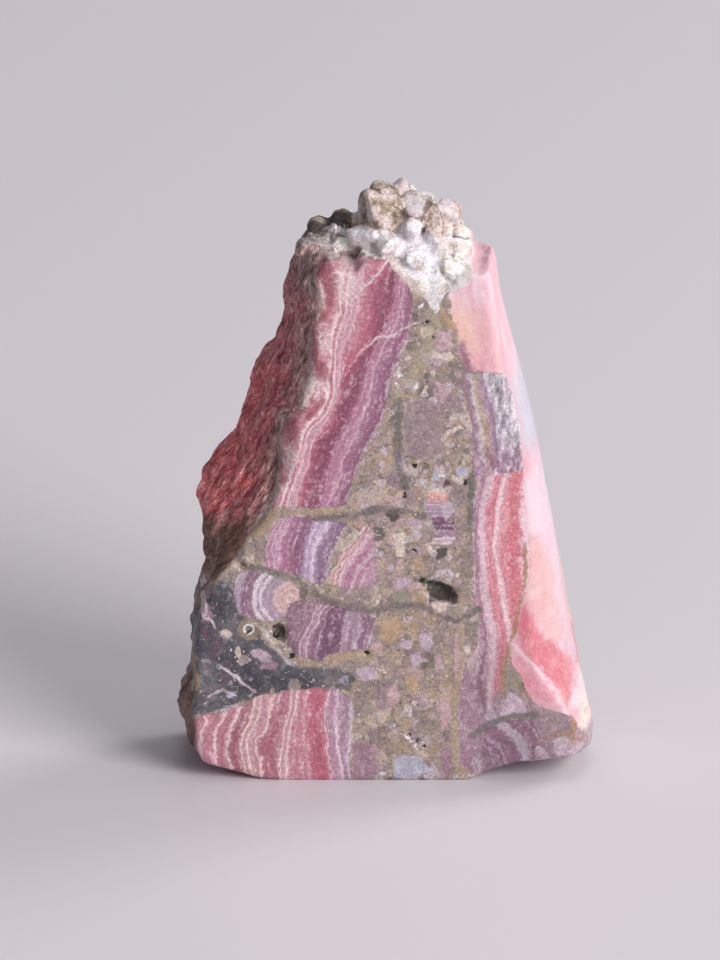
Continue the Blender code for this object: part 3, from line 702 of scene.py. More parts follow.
RIGHT_TONES = [
    (-1, "e4b0ba"), (0.6, "e6b2be"), (1.6, "e8b6c2"), (2.6, "eabeca"), (3.8, "ecc8d4"), (5.5, "edceda"),
    (8, "ecd0da"), (12, "e2b8c6"),
]
K_TONES = [
    (-0.7, "725766"), (-0.3, "8c6f7f"), (0, "a28693"), (0.16, "beacb8"), (0.26, "9b7a8c"),
    (0.5, "af9aa9"), (0.7, "cac0c7"),
]
CRUST_TONES = [(-0.3, "968070"), (0.1, "cebeb4"), (0.4, "e2d8d4"), (0.7, "e4dee2"), (1.2, "cebcb2")]
CRUST_DARK = [(-0.3, "544844"), (0.2, "8c7e7a"), (0.6, "baacaa"), (1.2, "dcd0ce")]
KNOB_TONES = [
    (0, "3a3234"), (0.1, "544a4e"), (0.2, "706254"), (0.3, "a89486"), (0.42, "cebeb6"), (0.52, "dacac8"),
    (0.6, "d2bcc2"), (0.68, "d0c8d0"), (0.78, "dccec2"), (0.88, "ece4e0"), (1, "f0ecf2"),
]
MOTTLE_TONES = [
    (-0.7, "5c524e"), (-0.3, "847470"), (-0.08, "a08c8c"), (0.12, "a89684"), (0.35, "c4b4a6"),
    (0.7, "ded2cc"),
]
GLINT = "d0cedc"
FIBRE_PALE = "ccaca8"
RUST_TAN = "ac8e70"
FLECK_PALE = "d6cac4"
FLECK_DARK = "4e4644"
FROST_WHITE = "e2ced6"
# Painted shade for the hollows in the crust's relief
CREVICE_SHADE = "78645a"
DEEP_RED = "8c424e"
PLUM_ROSE = "96566c"
LACE_WHITE = "e6d0d5"
PEARL = "e8d6ce"
DUSK_MAUVE = "96687a"
STREAK_WHITE = "f0dce4"
CREAM_EDGE = "eae0d0"
CEMENT_DARK = "686160"
VEINLET_TAN = "b49878"
KNOB_SEAM_SHADE = "5c483e"
# Painted shade for the seams where two knobs meet
KNOB_BROWN = "7c604e"
RING_TAN = "a08c76"
RING_WHITE = "e2dad2"
SPOT_WHITE = "ece8ea"
GLOW_PEACH = "f4cab0"
SPARKLE_WHITE = "f4eef4"
# Painted shade inside the pits
PIT_SHADE = "221c1c"
# The crown's patches: colours, size of their mottling and strength
CROWN_TONES = {
    "grey_crust": ([(-0.45, "5c5250"), (0, "a89c9c"), (0.4, "e8e0e2")], 1, 0.85),
    # Painted light: the dip's crust made lighter than it is, against its shade
    "pale_mid": ([(-0.5, "bcaca8"), (-0.2, "f2eae8"), (0.3, "fefcfc")], 1, 0.95),
    "tan_low": ([(-0.4, "b49a82"), (0.4, "d6c6ba")], 0.9, 0.8),
    "snow": ([(-0.5, "a08e88"), (-0.2, "ded6da"), (0.1, "f0ecf4"), (0.5, "f6f4fc")], 0.9, 0.9),
    "rim_brown": ([(-0.4, "967254"), (0.4, "c0a286")], 0.8, 0.8),
}
# Patches of the right flank: name, how softly each starts and ends, and its colours
RIGHT_PATCHES = [
    ("in_salmon", -0.9, 0.9, [(-0.5, "e8acac"), (0, "eebcbc"), (0.5, "f4d0d0")]),
    ("in_under", -0.5, 0.5, [(-0.5, "de8c9c"), (0, "e8a2ae"), (0.5, "f2c4cc")]),
    ("in_coral", -0.6, 0.8, [(-0.5, "d06270"), (0, "de7a86"), (0.5, "eca0a8")]),
]
# The matrix's small fragments: size in mm, the share of them left out and their strength
CLAST_SIZES = [(4.4, 0.52, 0.6), (2.4, 0.5, 0.75), (1.25, 0.66, 0.7)]
SLATE_SIZES = [(1.9, 0.72, 0.6), (0.8, 0.74, 0.55)]

# Banded fragments: outline, what the bands follow, how many millimetres or bands make one step of
# the palette, and the colours

FRAGMENTS = [
    (A_OUTLINE, [L_COLOUR, *A_LINES], 1.0, A_TONES),
    (B_OUTLINE, B_LINES, 1.0, B_TONES),
    (E_OUTLINE, E_LINES, 1.0, E_TONES),
    (I_OUTLINE, I_LINES, 1.0, I_TONES),
    (J_OUTLINE, J_LINES, 1.0, J_TONES),
    (C_OUTLINE, "fan", 2.0, FAN_TONES),
    (D_OUTLINE, "arc", 1.6, ARC_TONES),
    (O_OUTLINE, "column", 1.6, COLUMN_TONES),
    (K_FOOT, "foot", 2.6, FOOT_TONES),
]
# Small fragments of one mottled colour: the dark, middle and light colour, then outlines
CLASTS = [
    # tan
    ("968068", "a89278", "baa48c", [
        [
            (-17.9, 42.7), (-16.4, 43.2), (-16.3, 41.9), (-17.8, 39.7), (-19, 38.9), (-20.8, 38.7),
            (-20, 41), (-18.7, 42.4),
        ],
        [(-29.3, 18.2), (-28.4, 18.4), (-27.8, 16.6), (-28, 14.7), (-29.2, 14.1)],
        [(4.4, 30.7), (6.7, 30.1), (6.4, 28.2), (4.7, 28)],
    ]),
    # olive
    ("807a6a", "989284", "b4aea0", [
        [(9.4, 28.2), (11.5, 28.5), (11.5, 26.7), (9.7, 26.6)],
        [(1.1, 30.1), (2.9, 30.4), (3.5, 27.5), (1.7, 26.6)],
    ]),
    # orange
    ("a48668", "b89a7c", "ceb296", [
        [(-0.5, 25.9), (2.3, 26.6), (2.6, 23.7), (0.8, 21.9), (-0.5, 22.7)],
        [(4.1, 35.5), (5.3, 36.2), (5.9, 34.6), (4.7, 33.6)],
        [(2.9, 17), (4.7, 17.6), (5.3, 15), (3.8, 14.1)],
        [(7.4, 76.3), (8.3, 76.6), (10.7, 72.6), (10.1, 71.8)],
    ]),
    # cream
    ("c8b4a6", "dac8bc", "e8dad2", [
        [
            (5.9, 68), (6.8, 68.8), (7.4, 69.1), (8.5, 68.3), (10, 68.8), (10.4, 67.7), (9.2, 67.2),
            (8.5, 67.7), (7.4, 67.7),
        ],
        [(8.9, 54.7), (8.9, 55.8), (9.7, 56.6), (11.6, 57.1), (11.8, 56.5), (10.3, 55.8)],
        [(-24.7, 24.2), (-23.8, 24.3), (-23, 23.7), (-23.5, 22.9), (-24.2, 23.4)],
        [(-22.6, 21.4), (-22, 21.8), (-21.4, 20.8), (-21.7, 19.7), (-22.3, 20.3)],
        [(7, 28.5), (9.7, 28.8), (9.1, 27.2), (7.4, 26.7)],
        [(1.4, 39.7), (3.1, 40), (3.2, 36.2), (1.9, 35.8)],
        [(11.6, 21.9), (13, 21.9), (13, 20.6), (11.8, 20.6)],
        [(5.3, 72.3), (6.8, 73), (7.1, 71), (5.6, 70.4)],
    ]),
    # pale lilac
    ("a08494", "c0acb8", "dcd0d6", [
        [
            (18.7, 14.2), (20, 13.9), (21.1, 12.6), (21.5, 11), (19.3, 10.7), (17.9, 10.2), (17.3, 10.7),
            (18.1, 12),
        ],
        [(25.1, 6.7), (27.2, 7.2), (29, 7), (29.9, 5.4), (28.3, 3.5), (25.9, 4.2)],
        [
            (-4.4, 18.2), (-3.1, 18.6), (-2, 18.4), (-1.1, 17.6), (-0.8, 16.5), (-2, 16.2), (-3.5, 16.3),
            (-4.4, 17.3),
        ],
        [(-20.3, 20.8), (-19.1, 21.3), (-18.1, 21), (-16.9, 20), (-17, 19.5), (-18.4, 19.2), (-19.9, 20)],
        [(1.6, 32.5), (3.4, 32.8), (3.7, 31.4), (2, 30.9)],
        [(5.3, 23.8), (7.1, 23.7), (7.4, 21.9), (6.5, 20.6), (5.3, 21.4)],
        [(2.5, 22.7), (4.1, 22.6), (4, 21.4), (2.6, 21.4)],
        [(3.8, 20.3), (5.3, 20.8), (5.9, 19.2), (4.4, 18.2)],
        [(0.1, 34.6), (1.1, 35.2), (1.9, 33.9), (0.7, 33.3)],
        [(1.7, 52.3), (2.9, 53.1), (3.5, 49.9), (2.2, 49.3)],
        [(8.3, 44.3), (10.1, 45.1), (10.7, 43.2), (9.2, 41.9)],
        [(3.8, 41.9), (5.3, 42.6), (5.9, 40.6), (4.4, 40)],
    ]),
    # blue grey
    ("8e8ea2", "b2b2c4", "d6d6e2", [
        [(-24.1, 13.8), (-23.2, 14.6), (-22.1, 14.4), (-22.7, 13.3), (-23.8, 13.1)],
        [(7, 49.9), (8.3, 49.9), (8.5, 48.2), (7.1, 48.2)],
        [(10.7, 50.6), (12.8, 50.2), (12.7, 48.8), (10.9, 48.8)],
        [(1.3, 3.5), (2.9, 4.2), (5.9, 3.8), (6.8, 1.6), (4.1, 0), (1.4, 0.3)],
    ]),
    # grey lilac
    ("76626c", "988488", "beacae", [
        [(23.5, 11.7), (25.7, 11.4), (28, 10.6), (28.3, 7.8), (24.8, 7.2), (23.8, 8.8)],
        [
            (3.4, 60.6), (6.1, 61.4), (7.9, 60.3), (8.8, 56.3), (8.3, 52.8), (6.1, 51.5), (3.5, 52.2),
            (2.9, 56.3),
        ],
        [(10.3, 45.1), (11.3, 45.6), (12.4, 45.8), (12.4, 44.6), (11.9, 43.8), (10.7, 43.7), (10.3, 44.5)],
        [(-1.7, 15.4), (-0.5, 15.5), (0.8, 14.9), (0.5, 12.5), (-0.1, 11.2), (-1.1, 11.7), (-1.6, 13.6)],
        [(9.2, 61.9), (11.3, 62.4), (11.9, 59.2), (9.8, 58.6)],
        [(2.6, 47.4), (4.4, 48), (5, 45.1), (3.2, 44.2)],
    ]),
    # pink
    ("aa828c", "c09ea4", "d8c4c8", [
        [(7.3, 20.2), (8.5, 20.3), (8.8, 18.2), (7.6, 17.8)],
        [(10.3, 23.7), (12.2, 24), (12.1, 16.3), (10.4, 16.3)],
        [(7.9, 13.4), (9.7, 14.7), (10.1, 9.9), (8.5, 7.5)],
        [(-0.1, 14.7), (1.7, 15.7), (2.6, 13.1), (0.8, 11.8)],
        [(7.6, 72.2), (10.1, 71.8), (10.3, 69.1), (7.9, 68.8)],
    ]),
    # mauve
    ("846272", "9e7c8c", "cebac4", [
        [
            (12.1, 18.1), (13, 17), (13.6, 15), (14.8, 12), (15.4, 9.8), (14.9, 8.5), (13.1, 8.5),
            (11.5, 9.6), (11.2, 13.1), (11.3, 15.2),
        ],
        [(11.3, 7.5), (13.1, 7.2), (14.2, 5.1), (12.8, 2.2), (11.2, 2.7)],
        [(-18.7, 19), (-17.5, 19.5), (-15.8, 19), (-16.1, 18.1), (-17.6, 17.8), (-18.5, 18.2)],
        [
            (-4.7, 5.1), (-3.7, 5.6), (-1.9, 5.4), (-1.3, 4.3), (-0.8, 1.9), (-1.1, 0.8), (-2.9, 0.3),
            (-4.9, 0.3),
        ],
        [
            (-28.1, 29.4), (-27.1, 29.6), (-26.3, 28.2), (-25.7, 26.4), (-26.2, 25.4), (-27.2, 25.8),
            (-28.1, 27.4),
        ],
        [(-5, 5.9), (-3.4, 6.4), (-1.6, 5.4), (-1.4, 1.9), (-3.1, 0.6), (-4.9, 1)],
        [(8.3, 4.8), (10.1, 5.1), (10.3, 1), (8.6, 0.8)],
    ]),
    # the loop
    ("7a726c", "92897f", "a49b90", [
        [
            (18.7, 18.9), (19.4, 18.1), (20.6, 16.5), (20.9, 14.4), (19.7, 14.7), (18.7, 14.7),
            (17.9, 15), (17.9, 17),
        ],
    ]),
    # plum
    ("503a4a", "624a5a", "7a6270", [
        [
            (-26.3, 21.1), (-25.6, 22.9), (-24.4, 23.2), (-24.1, 22.4), (-25, 20.8), (-25.7, 19),
            (-26.5, 19.5),
        ],
        [(-24.8, 17.1), (-23.8, 17.4), (-23.2, 16.5), (-23.5, 15.4), (-24.5, 15.5)],
        [(-27.8, 24.8), (-27.1, 25.1), (-26.5, 23.5), (-26.6, 22.7), (-27.4, 23.4)],
    ]),
    # dark
    ("242020", "3e3834", "70665c", [
        [
            (6.1, 32.2), (7.3, 32.5), (9.2, 31.8), (10.1, 30.4), (11.6, 29.4), (11.9, 28.6), (10.1, 28.5),
            (8.3, 29), (6.8, 28.6), (6.2, 30.4),
        ],
        [
            (-17, 24.8), (-15.8, 25.6), (-14.9, 25.1), (-14.9, 22.9), (-14.3, 21), (-15.2, 22.1),
            (-16.4, 23),
        ],
        [(7.7, 37.4), (9.5, 37.6), (9.7, 35.8), (7.9, 35.7)],
        [(-0.1, 43.2), (1.7, 43.8), (2.6, 42.2), (1.1, 41.3)],
        [(8.5, 48.2), (9.7, 48.6), (10, 47.4), (8.8, 46.9)],
    ]),
]
# Veins and seams: half width, softness of the edges, the dark and light colour, then lines
LINES = [
    # grey curve
    (0.5, 0.6, "545050", "7c7670", [
        [(2.3, 61.1), (2.3, 59.8), (2, 57.9), (1.9, 54.7), (2.2, 50.7), (2.9, 48)],
    ]),
    # olive curve
    (0.8, 0.9, "928674", "b8aa94", [
        [(7.6, 76.3), (6.8, 70.7), (5.6, 67.2), (4.7, 65.3), (2.6, 62.4)],
    ]),
    # white rim
    (0.34, 0.2, "baaea8", "f2ecea", [
        [(-19.6, 25), (-17.9, 24.2), (-17.9, 23.7), (-17, 22.2), (-15.5, 20.5), (-14.6, 19.5)],
    ]),
    # grey veins and dark seams
    (0.44, 0.4, "524d4e", "867d77", [
        [(-10, 42.1), (-6.7, 42.4), (-4, 42.9), (-0.5, 43.7), (2.3, 43.4), (5, 42.6)],
        [(-19, 34.1), (-17.8, 33.8), (-15.1, 33), (-12.7, 32.2), (-10.9, 30.7), (-9.4, 29.4)],
        [
            (-7.6, 28.6), (-5.2, 28), (-2.8, 27.2), (-0.5, 27.5), (2, 28.2), (5.3, 28.2), (8.3, 26.6),
            (10.7, 25.6), (13.4, 27.2),
        ],
        [(14, 7.8), (15.7, 9), (17.9, 10.1), (19.4, 10.4), (21.1, 10.4), (22.1, 10.6)],
        [(13, 48), (12.9, 41.3)],
    ]),
    # tan veins
    (0.36, 0.3, "927a63", "c2ae98", [
        [(-16.1, 42.9), (-12.7, 43.2), (-9.2, 43.2), (-6.7, 43.4), (-4.7, 43.7)],
        [
            (-14.8, 20.2), (-13.4, 19.4), (-11.6, 18.9), (-9.7, 18.7), (-8.2, 19.5), (-6.7, 20.2),
            (-4.9, 20.3), (-2, 20.3), (-1, 20.8),
        ],
        [(7.9, 13.6), (9.7, 13.3), (10.7, 12.6), (10.6, 9.6), (10.7, 5.1), (10.9, 3.2)],
        [(11.5, 29.1), (11.5, 25.9), (11.3, 22.7), (11.8, 20.2), (11.2, 16.6), (10.9, 13.1)],
    ]),
    # brown veins
    (0.26, 0.2, "8a644a", "b49070", [
        [
            (21.1, 37.1), (21.2, 33.1), (20.9, 30.4), (20.2, 28.2), (19.7, 24.6), (18.8, 21.4),
            (18.1, 18.9), (17.8, 14.7),
        ],
        [(20.5, 15.4), (21.8, 13.6), (24.2, 12.3), (27.2, 11.4), (28.3, 10.6), (28.6, 8.3), (28, 6.4)],
        [(24.1, 6.7), (25.7, 7.4), (27.5, 7.4), (29, 6.6)],
    ]),
    # white lines
    (0.14, 0.16, "ceb8be", "eadce0", [
        [(4.3, 73.1), (2.9, 72.5), (1.4, 71.4), (0.5, 71), (-1, 71.2), (-2.2, 69.8), (-3.1, 69.1)],
        [(-0.2, 82.1), (-1.6, 80.3), (-3.4, 78.6), (-4.7, 77)],
        [(-23.8, 17.8), (-22.9, 17.1), (-21.2, 15.8)],
        [(-28.1, 29.6), (-27.5, 28.5), (-27.7, 27.2), (-26.8, 25.9)],
        [(-27.2, 29.3), (-26.8, 28.2), (-26.8, 26.9), (-25.9, 25.4)],
        [(-22.3, 16.8), (-21.4, 15.8), (-20.2, 14.9)],
        [(-25.6, 14.1), (-24.4, 14.7), (-23.2, 14.1)],
    ]),
]

# Numbers worked out for every vertex


def lattice(cells, seed):
    """A fixed random number, -1 to 1, for each corner of a grid."""
    mixed = seed * SEED_STEP
    for k, step in enumerate(LATTICE_STEPS):
        mixed = mixed ^ cells[..., k] * step
    mixed = (mixed ^ (mixed >> 13)) * 1274126177 & 0x7FFFFFFF
    mixed = (mixed ^ (mixed >> 15)) * 668265263 & 0x7FFFFFFF
    return (mixed >> 7 & 0xFFFF) / 32767.5 - 1


def smooth_noise(points, size, seed=0, octaves=3, fading=0.5):
    """Noise at each point, about -1 to 1, whose largest lumps are size millimetres wide."""
    total = np.zeros(len(points))
    height = 1.0
    for octave in range(octaves):
        place = points / size * 2**octave + 31.7 * octave
        corner = np.floor(place).astype(np.int64)
        share = place - corner
        share = share**3 * (share * (share * 6 - 15) + 10)
        for dx in (0, 1):
            for dy in (0, 1):
                for dz in (0, 1):
                    weight = np.abs(1 - dx - share[:, 0]) * np.abs(1 - dy - share[:, 1])
                    weight = weight * np.abs(1 - dz - share[:, 2])
                    total += height * weight * lattice(corner + np.array((dx, dy, dz)), seed + octave)
        height *= fading
    return total


def edge_distance(points, x, z, closed):
    """The distance to the nearest stretch of a line, and the signed distance across it."""
    near = np.full(x.shape, 1e9)
    across = np.zeros(x.shape)
    ends = points[1:] + points[:1] if closed else points[1:]
    last = len(ends) - 1
    for i, ((ax, az), (bx, bz)) in enumerate(zip(points, ends, strict=False)):
        length = math.hypot(bx - ax, bz - az)
        ux, uz = (bx - ax) / length, (bz - az) / length
        along = (x - ax) * ux + (z - az) * uz
        held = np.clip(along, 0, length)
        gap = np.hypot(x - ax - held * ux, z - az - held * uz)
        side = (x - ax) * uz - (z - az) * ux
        beyond = ((along < 0) & (i == 0)) | ((along > length) & (i == last))
        signed = np.where(beyond & (not closed), side, np.sign(side) * gap)
        closer = gap < near
        across = np.where(closer, signed, across)
        near = np.where(closer, gap, near)
    return near, across


def close_by(points, x, z):
    """The numbers of the places that lie within REACH of the box round some points."""
    xs, zs = zip(*points, strict=True)
    wide = (x > min(xs) - REACH) & (x < max(xs) + REACH)
    return np.flatnonzero(wide & (z > min(zs) - REACH) & (z < max(zs) + REACH))


def inside_depth(points, x, z):
    """How far inside an outline each point is; negative outside, down to -REACH."""
    depth = np.full(x.shape, -REACH)
    some = close_by(points, x, z)
    x, z = x[some], z[some]
    near, _ = edge_distance(points, x, z, closed=True)
    inside = np.zeros(x.shape, dtype=bool)
    for (ax, az), (bx, bz) in zip(points, points[1:] + points[:1], strict=True):
        if az == bz:
            continue
        crosses = (az > z) != (bz > z)
        inside ^= crosses & (x < (bx - ax) * (z - az) / (bz - az) + ax)
    depth[some] = np.maximum(np.where(inside, near, -near), -REACH)
    return depth


def follow(table, values):
    """The second number of a table's pairs, at the given values of the first."""
    return np.interp(values, [pair[0] for pair in table], [pair[1] for pair in table])


def line_at(points, z):
    """The x of a line that runs down the stone, at each height."""
    ordered = sorted(points, key=lambda point: point[1])
    return np.interp(z, [point[1] for point in ordered], [point[0] for point in ordered])


def band_position(guides, x, z):
    """Where each point lies among the guides: 0 on the first, 1 on the second, and so on."""
    places = [line_at(guide, z) for guide in guides]
    for k in range(1, len(places)):
        places[k] = np.maximum(places[k], places[k - 1] + 0.2)
    position = (x - places[0]) / np.maximum(places[1] - places[0], 1.0)
    for k in range(len(places) - 1):
        share = (x - places[k]) / (places[k + 1] - places[k])
        position = np.where(x >= places[k], k + share, position)
    return np.clip(position, -3, len(places) + 2)


def deepest(outlines, x, z):
    """How far inside the nearest of several outlines each point is."""
    return np.max([inside_depth(outline, x, z) for outline in outlines], axis=0)


def nearest_line(lines, x, z):
    """The distance to the nearest of several lines, up to REACH, and the signed distance."""
    near = np.full(x.shape, REACH)
    across = np.full(x.shape, REACH)
    for line in lines:
        some = close_by(line, x, z)
        gap, signed = edge_distance(line, x[some], z[some], closed=False)
        closer = gap < near[some]
        near[some[closer]] = gap[closer]
        across[some[closer]] = signed[closer]
    return near, across


# The stone's mesh


def own_copy(source):
    """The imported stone's mesh in a new object."""
    made = bpy.data.objects.new(NAME, source.data.copy())
    bpy.context.scene.collection.objects.link(made)
    made.data.name = NAME
    made.data.materials.clear()
    return made


def even_grid(thing):
    """Rebuilds the object's mesh as one skin on an even grid."""
    remesh = thing.modifiers.new("even grid", "REMESH")
    remesh.mode = "VOXEL"
    remesh.voxel_size = GRID * MM
    bpy.context.view_layer.update()
    graph = bpy.context.evaluated_depsgraph_get()
    mesh = bpy.data.meshes.new_from_object(thing.evaluated_get(graph))
    thing.modifiers.clear()
    thing.data = mesh


def vertex_places(mesh):
    """Where each vertex is, in millimetres."""
    places = np.empty(len(mesh.vertices) * 3)
    mesh.vertices.foreach_get("co", places)
    return places.reshape(-1, 3) / MM


def vertex_normals(mesh):
    """The direction in which the skin faces at each vertex."""
    normals = np.empty(len(mesh.vertices) * 3)
    mesh.vertex_normals.foreach_get("vector", normals)
    return normals.reshape(-1, 3)


def front_coordinates(places):
    """The x and z on the sawn front face of the marking that runs through each point."""
    depth = np.clip(places[:, 1] - FRONT_Y, 0, THICKNESS)
    share = depth / THICKNESS
    sway_x = smooth_noise(places, SWAY_SIZES[0], seed=11, octaves=2)
    sway_z = smooth_noise(places, SWAY_SIZES[1], seed=23, octaves=2)
    x = places[:, 0] + depth * SHEAR[0] + sway_x * share * THROUGH_SWAY
    z = places[:, 2] + depth * SHEAR[1] + sway_z * share * THROUGH_SWAY
    return x, z, depth


def crust_height(x, z, depth):
    """How far above the lower edge of the crust each point is."""
    edge = follow(CRUST_EDGE, x)
    behind = np.clip((depth - 1.5) / 4, 0, 1)
    edge = edge + behind * np.maximum(CRUST_BEHIND - edge, 0)
    edge = edge + np.clip((x - CRUST_RIGHT) / 0.8, 0, 1) * 30
    return z - edge


def seen_height(places):
    """The height on the front plane at which the camera sees each point."""
    return places[:, 2] + (places[:, 1] - FRONT_Y) * math.tan(CAMERA_TILT)


def fit_outline(mesh):
    """Small moves that bring the flanks, the crown and the foot to the outline in front view."""
    places = vertex_places(mesh)
    x, z = places[:, 0].copy(), places[:, 2].copy()
    left = np.clip((-4 - x) / 12, 0, 1)
    right = np.clip((x - 6) / 10, 0, 1)
    places[:, 0] += left * follow(LEFT_MOVES, z) + right * follow(RIGHT_MOVES, z)
    share = np.clip((z - CROWN_START) / CROWN_RANGE, 0, 1)
    places[:, 2] += follow(CROWN_DROPS, x) * share * share * (3 - 2 * share)
    low = np.clip(1 - z / FOOT_RANGE, 0, 1)
    places[:, 2] += follow(FOOT_LIFTS, x) * low
    cap = follow(SHOULDER_CAP, places[:, 0]) - (seen_height(places) - places[:, 2])
    capped = (z > SHOULDER_ABOVE) & (places[:, 2] > cap)
    places[capped, 2] = cap[capped]
    mesh.vertices.foreach_set("co", (places * MM).ravel())
    mesh.update()


def knob_corners(corners):
    """A knob's corners in the stone's frame, with two more below it that root it in the crown."""
    slope = math.tan(CAMERA_TILT)
    placed = [(x, FRONT_Y + depth, seen - depth * slope) for x, seen, depth in corners]
    x, y, _ = (sum(values) / len(placed) for values in zip(*placed, strict=True))
    low = min(corner[2] for corner in placed)
    back = max(corner[1] for corner in placed)
    return [*placed, (x, y + 1.0, low - KNOB_ROOT), (x, back, low - KNOB_ROOT)]


def add_knobs(mesh):
    """Joins the crown's knobs to the mesh. Returns each knob's tone and the planes round it."""
    whole = bmesh.new()
    whole.from_mesh(mesh)
    planes = []
    for tone, corners in KNOBS:
        hull = bmesh.new()
        for corner in knob_corners(corners):
            hull.verts.new(Vector(corner) * MM)
        found = bmesh.ops.convex_hull(hull, input=hull.verts)
        spare = found["geom_interior"] + found["geom_unused"]
        spare = {part for part in spare if isinstance(part, bmesh.types.BMVert)}
        bmesh.ops.delete(hull, geom=list(spare), context="VERTS")
        bmesh.ops.recalc_face_normals(hull, faces=hull.faces)
        hull.normal_update()
        sides = [(*face.normal, face.normal.dot(face.verts[0].co) / MM) for face in hull.faces]
        planes.append((tone, np.array(sides)))
        piece = bpy.data.meshes.new("knob")
        hull.to_mesh(piece)
        hull.free()
        whole.from_mesh(piece)
        bpy.data.meshes.remove(piece)
    whole.to_mesh(mesh)
    whole.free()
    return planes


def knob_fields(places, planes):
    """For the nearest knob: how deep in it each point is, its tone, and its lead on the next."""
    best = np.full(len(places), -9.0)
    tones = np.full(len(places), 0.5)
    lead = np.full(len(places), REACH)
    top = places[:, 2] > KNOBS_ABOVE
    some = places[top]
    found, tone_here = best[top], tones[top]
    second = found.copy()
    for tone, sides in planes:
        depth = -(some @ sides[:, :3].T - sides[:, 3]).max(axis=1)
        second = np.maximum(second, np.minimum(found, depth))
        tone_here = np.where(depth > found, tone, tone_here)
        found = np.maximum(found, depth)
    best[top], tones[top] = found, tone_here
    lead[top] = np.minimum(found - second, REACH)
    return best, tones, lead


def add_relief(mesh, fields):
    """Moves the vertices along their normals: ridges on the flanks, crumbs on the crown."""
    places = vertex_places(mesh)
    normals = vertex_normals(mesh)
    depth = fields["depth"]
    edge = np.minimum(depth, THICKNESS - depth)
    wall = np.clip((edge - EDGE_KEPT) / EDGE_RISE, 0, 1)
    left = np.clip((-normals[:, 0] - 0.15) / 0.4, 0, 1)
    right = np.clip((normals[:, 0] - 0.15) / 0.4, 0, 1)
    crust = np.clip(fields["crust"] / 1.2, 0, 1)
    knob = np.clip((fields["knob"] + 0.9) / 0.5, 0, 1)
    slanted = places.copy()
    slanted[:, 0] = places[:, 0] - 0.3 * places[:, 2]
    slanted[:, 2] = places[:, 2] * 0.32
    ridges = 1 - 2 * np.abs(smooth_noise(slanted, 2.6, seed=5, octaves=3))
    grains = smooth_noise(places, 1.3, seed=8, octaves=2)
    crumbs = 2.4 * np.abs(smooth_noise(places, 2.6, seed=14, octaves=3, fading=0.55)) - 0.7
    worn = smooth_noise(places * np.array((1, 1, 0.35)), 4.5, seed=19, octaves=2)
    height = wall * left * (1 - crust) * (LEFT_RELIEF[0] * (ridges - 0.3) + LEFT_RELIEF[1] * grains)
    height += wall * right * (1 - crust) * RIGHT_RELIEF * worn
    rough = crust * np.maximum(wall, 0.7) * (1 - KNOB_SMOOTHING * knob)
    height += rough * (CRUST_RELIEF[0] * crumbs + CRUST_RELIEF[1] * grains)
    # How far below the crust's relief each point lies, for the painted shade in its hollows
    fields["low"] = np.where(crust > 0, -height, 0)
    height -= PIT_DEPTH * np.clip((fields["ink"] + 0.1) / 0.5, 0, 1) * (depth < 1.0)
    places += normals * height[:, None]
    places[:, 2] = np.maximum(places[:, 2], 0.0)
    mesh.vertices.foreach_set("co", (places * MM).ravel())
    mesh.update()


def band_place(follows, x, z):
    """Where each point lies among a fragment's bands."""
    if follows == "fan":
        return -edge_distance(C_EDGE, x, z, closed=False)[1]
    if follows == "arc":
        return np.hypot(x - ARC_CENTRE[0], z - ARC_CENTRE[1])
    if follows == "column":
        return z + 0.035 * (x - COLUMN_MIDDLE) ** 2
    if follows == "foot":
        return edge_distance(K_FOOT_EDGE, x, z, closed=False)[1]
    return band_position(follows, x, z)


def fragment_fields(x, z):
    """How deep inside a banded fragment each point is, and its place on the bands' palette."""
    best = np.full(x.shape, -REACH)
    palette = np.zeros(x.shape)
    for number, (outline, follows, scale, stops) in enumerate(FRAGMENTS):
        inside = inside_depth(outline, x, z)
        some = np.flatnonzero(inside > best)
        best[some] = inside[some]
        first, last = stops[0][0], stops[-1][0]
        place = (band_place(follows, x[some], z[some]) - first) / scale
        place = np.clip(place, -0.6, (last - first) / scale + 0.6)
        palette[some] = number * PALETTE_STEP + 1 + place
    return {"in_fragment": best, "bands": palette}


def clast_fields(x, z):
    """How deep inside a small fragment each point is, and which sort that is."""
    best = np.full(x.shape, -REACH)
    sort = np.zeros(x.shape)
    for number, (*_, outlines) in enumerate(CLASTS):
        inside = deepest(outlines, x, z)
        sort = np.where(inside > best, number, sort)
        best = np.maximum(inside, best)
    return {"in_clast": best, "clast_sort": sort}


def line_fields(x, z):
    """The vein or seam that each point is nearest to: distances, width, softness and sort."""
    found = {name: np.full(x.shape, REACH) for name in ("line_near", "line_across")}
    found |= {name: np.full(x.shape, 0.3) for name in ("line_half", "line_sharp", "line_sort")}
    for number, (half, soft, _, _, lines) in enumerate(LINES):
        near, across = nearest_line(lines, x, z)
        closer = near - half < found["line_near"]
        for name, value in (
            ("line_near", near - half),
            ("line_across", across),
            ("line_half", half),
            ("line_sharp", 1 / (1.5 * soft)),
            ("line_sort", number),
        ):
            found[name] = np.where(closer, value, found[name])
    return found


